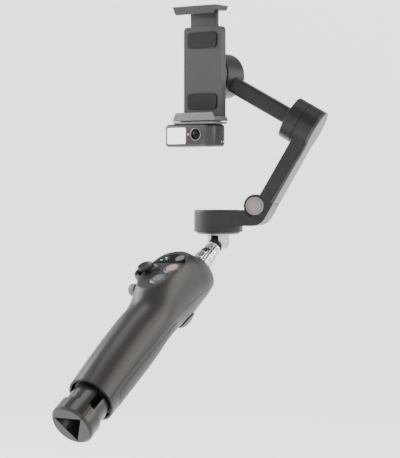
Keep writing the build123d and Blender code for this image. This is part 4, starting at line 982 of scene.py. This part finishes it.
# ---- motors and arms ----
@dataclass
class Arms:
    """Pan motor, both arms and the fold joint."""

    dresser: Dresser
    arm_half: float = 14.0
    disc: Profile = ((0.0, -0.6), (7.0, -0.6), (7.0, 0.5), (6.75, 0.85), (6.2, 0.98), (5.75, 0.9),
                     (5.6, 0.55), (5.2, 0.55), (5.05, 0.88), (4.6, 0.95), (0.0, 0.8))
    collar: Profile = ((7.15, -0.6), (8.55, -0.6), (8.55, 0.25), (8.3, 0.5), (7.4, 0.5), (7.15, 0.3),
                       (7.15, -0.6))
    # Pin-head holes, drawn as dark discs that paint the holes' shade: the motors' radii, the directions that
    # they face, and their heights
    hole: Profile = ((0.0, -0.8), (0.62, -0.8), (0.62, 0.02), (0.5, 0.06), (0.0, 0.05))
    pan_radius: float = 18.5
    pan_facing: Triple = (0.5735, -0.8192, 0.0)
    pan_height: float = 10.6
    tilt_radius: float = 16.4
    tilt_facing: Triple = (0.1688, -0.9287, -0.3311)
    tilt_height: float = 1.6

    def pivot(self, name: str, side: Side, replaces: tuple[str, ...] = ()) -> None:
        """The turned disc over the fold joint and the dark collar round it.

        Args:
            name: what both pieces' names start with.
            side: the side of the arm that they are on.
            replaces: the nodes that the disc stands for.
        """
        seat = ARMS.at(*ELBOW, side.value * self.arm_half).facing(side.value * ARMS.z, REACH)
        disc = revolve(f"{name}_disc", seat, self.disc, 128)
        self.dresser.piece(disc, Look.pivot_silver, "long", replaces=replaces)
        collar = revolve(f"{name}_collar", seat, self.collar, 128)
        self.dresser.piece(collar, Look.knurl_black, "long", slot="arm_paint")

    def pin_holes(self) -> None:
        """A dark disc that paints the shade of a pin-head hole in the side of the pan motor, and one in the
        tilt motor's.
        """
        facing = np.array(self.pan_facing)
        low = HEAD.at(*(self.pan_radius * facing[:2]), self.pan_height).facing(facing, Z)
        self.dresser.piece(revolve("pan_hole", low, self.hole, 32), Look.inner_plastic, "lower")
        facing = np.array(self.tilt_facing)
        facing /= np.linalg.norm(facing)
        spot = TILT.origin + self.tilt_radius * facing + self.tilt_height * TILT.z
        high = Axes(spot, TILT.z, np.cross(facing, TILT.z), facing)
        self.dresser.piece(revolve("tilt_hole", high, self.hole, 32), Look.inner_plastic, "second")

    def build(self) -> None:
        """Makes the fold joint's discs and the holes, and dresses the motors and the arms."""
        d = self.dresser
        self.pivot("pivot_front", Side.FRONT, ("fold_caps",))
        self.pivot("pivot_back", Side.BACK)
        self.pin_holes()
        d.nodes(Look.fork_metal, "pan_fork", edge=0.5, segments=3)
        d.nodes(Look.cover_silver, "pan_ring", edge=0.2)
        d.nodes(Look.steel, "hinge_pin", edge=0.2)
        d.nodes(Look.arm_paint, "lower_arm", "long_arm", "second_arm", edge=1.0, segments=3)
        d.nodes(Look.cover_silver, "long_arm_cover", edge=0.3, segments=3)
        d.nodes(Look.steel, "fold_pin", "pan_bearing", "tilt_bearing", "roll_bearing", "tilt_shaft")
        d.nodes(Look.motor_core, "pan_stator", "tilt_stator", "roll_stator")


@dataclass
class Clamp:
    """The phone clamp and the plate that it sits on."""

    dresser: Dresser

    def build(self) -> None:
        """Dresses the clamp."""
        d = self.dresser
        d.nodes(Look.jaw_dark, "roll_plate", "clamp_body", "upper_jaw", edge=0.5, segments=3)
        d.nodes(Look.pad_rubber, "clamp_pads", "upper_jaw_pad", edge=0.15)
        d.nodes(Look.jaw_silver, "lower_jaw", "module_rail", edge=0.4, segments=3)
        d.nodes(Look.steel, "clamp_springs")


@dataclass
class CameraModule:
    """The camera and lamp under the lower jaw.

    The case is on the head's axes. Places on its front are (x, z) there, and profiles' heights are
    over that front.
    """

    dresser: Dresser
    middle: Pair = (-5.3, -22.8)
    half: Pair = (21.5, 10.4)
    heights: Pair = (71.5, 88.35)
    corner_radii: tuple = (4.5, 4.0, 3.0, 6.5)
    edge: float = 2.6
    front: float = 33.2
    # Lamp: its middle, half its size and corner, and how far its dark frame stands round it
    lamp_at: Pair = (-15.3, 79.65)
    lamp_half: Pair = (8.5, 6.1)
    lamp_corner: float = 1.3
    lamp_frame: float = 0.25
    # Lens
    lens_at: Pair = (2.4, 80.6)
    lens_ring: Profile = ((4.15, -1.2), (4.8, -1.2), (4.8, 0.35), (4.6, 0.62), (4.3, 0.68), (4.15, 0.5),
                          (4.15, -1.2))
    lens_well: Profile = ((0.0, -1.0), (4.2, -1.0), (4.2, 0.45), (3.95, 0.55), (3.7, 0.5), (3.5, 0.25),
                          (2.9, 0.12), (0.0, 0.1))
    lens_dome: Profile = ((0.0, 0.02), (2.85, 0.02), (2.7, 0.24), (2.1, 0.42), (1.1, 0.54), (0.0, 0.58))
    # Pilot light, left of the lens, and two contacts on the right side
    pilot_aside: float = 7.0
    pilot: Profile = ((0.0, -1.0), (0.85, -1.0), (0.85, 0.0), (0.6, 0.16), (0.0, 0.22))
    contact_at: Pair = (16.2, 75.2)
    contact_depths: Pair = (-19.6, -16.8)
    contact: Profile = ((0.0, -0.5), (0.6, -0.5), (0.6, 0.05), (0.4, 0.16), (0.0, 0.18))

    def lamp(self, face: Axes) -> None:
        """The pale lamp panel and the dark line round it.

        Args:
            face: the axes of the case's front.
        """
        seat, (wide, high) = face.at(*self.lamp_at), self.lamp_half
        panel = pillow("lamp_panel", seat, wide, high, self.lamp_corner, -1.2, 0.12, 0.12)
        self.dresser.piece(panel, Look.lamp_diffuser, "clamp", replaces=("lamp_window",))
        line = pillow("lamp_frame", seat, wide + self.lamp_frame, high + self.lamp_frame,
                      self.lamp_corner + 0.2, -1.0, 0.04, 0.03)
        self.dresser.piece(line, Look.lens_black, "clamp")

    def lens(self, face: Axes) -> None:
        """The satin ring, the dark stepped barrel and the domed glass.

        Args:
            face: the axes of the case's front.
        """
        d, seat = self.dresser, face.at(*self.lens_at)
        d.piece(revolve("lens_ring", seat, self.lens_ring), Look.pivot_silver, "clamp", slot="lens_black",
                replaces=("lens_barrel",))
        d.piece(revolve("lens_well", seat, self.lens_well), Look.lens_black, "clamp")
        d.piece(revolve("lens_dome", seat, self.lens_dome, 64), Look.lens_glass, "clamp",
                replaces=("lens_glass",))

    def build(self) -> None:
        """Makes the case, the lamp, the lens, the pilot light and two contacts."""
        d = self.dresser
        case = pillow("module_case", HEAD.at(*self.middle), *self.half, self.corner_radii, *self.heights,
                      self.edge)
        d.piece(case, Look.module_plastic, "clamp", replaces=("module_shell",))
        face = HEAD.at(0, -self.front, 0).facing(-Y, X)
        self.lamp(face)
        self.lens(face)
        beside = face.at(self.lens_at[0] - self.pilot_aside, self.lens_at[1])
        pilot = revolve("pilot_dome", beside, self.pilot, 32)
        d.piece(pilot, Look.pilot_orange, "clamp", replaces=("pilot_light",))
        for number, depth in enumerate(self.contact_depths, start=1):
            seat = HEAD.at(self.contact_at[0], depth, self.contact_at[1]).facing(X, Y)
            contact = revolve(f"module_contact_{number}", seat, self.contact, 24)
            d.piece(contact, Look.ring_bright, "clamp", slot="module_plastic")


def main() -> None:
    """Builds every sub-assembly in order."""
    logging.basicConfig(level=logging.INFO, format="%(message)s")
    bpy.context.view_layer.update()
    Studio().build()
    dresser = Dresser()
    for assembly in (Handle, Controls, Rod, Tripod, Arms, Clamp, CameraModule):
        assembly(dresser).build()
        LOG.info("built %s", assembly.__name__)


if __name__ == "__main__":
    main()
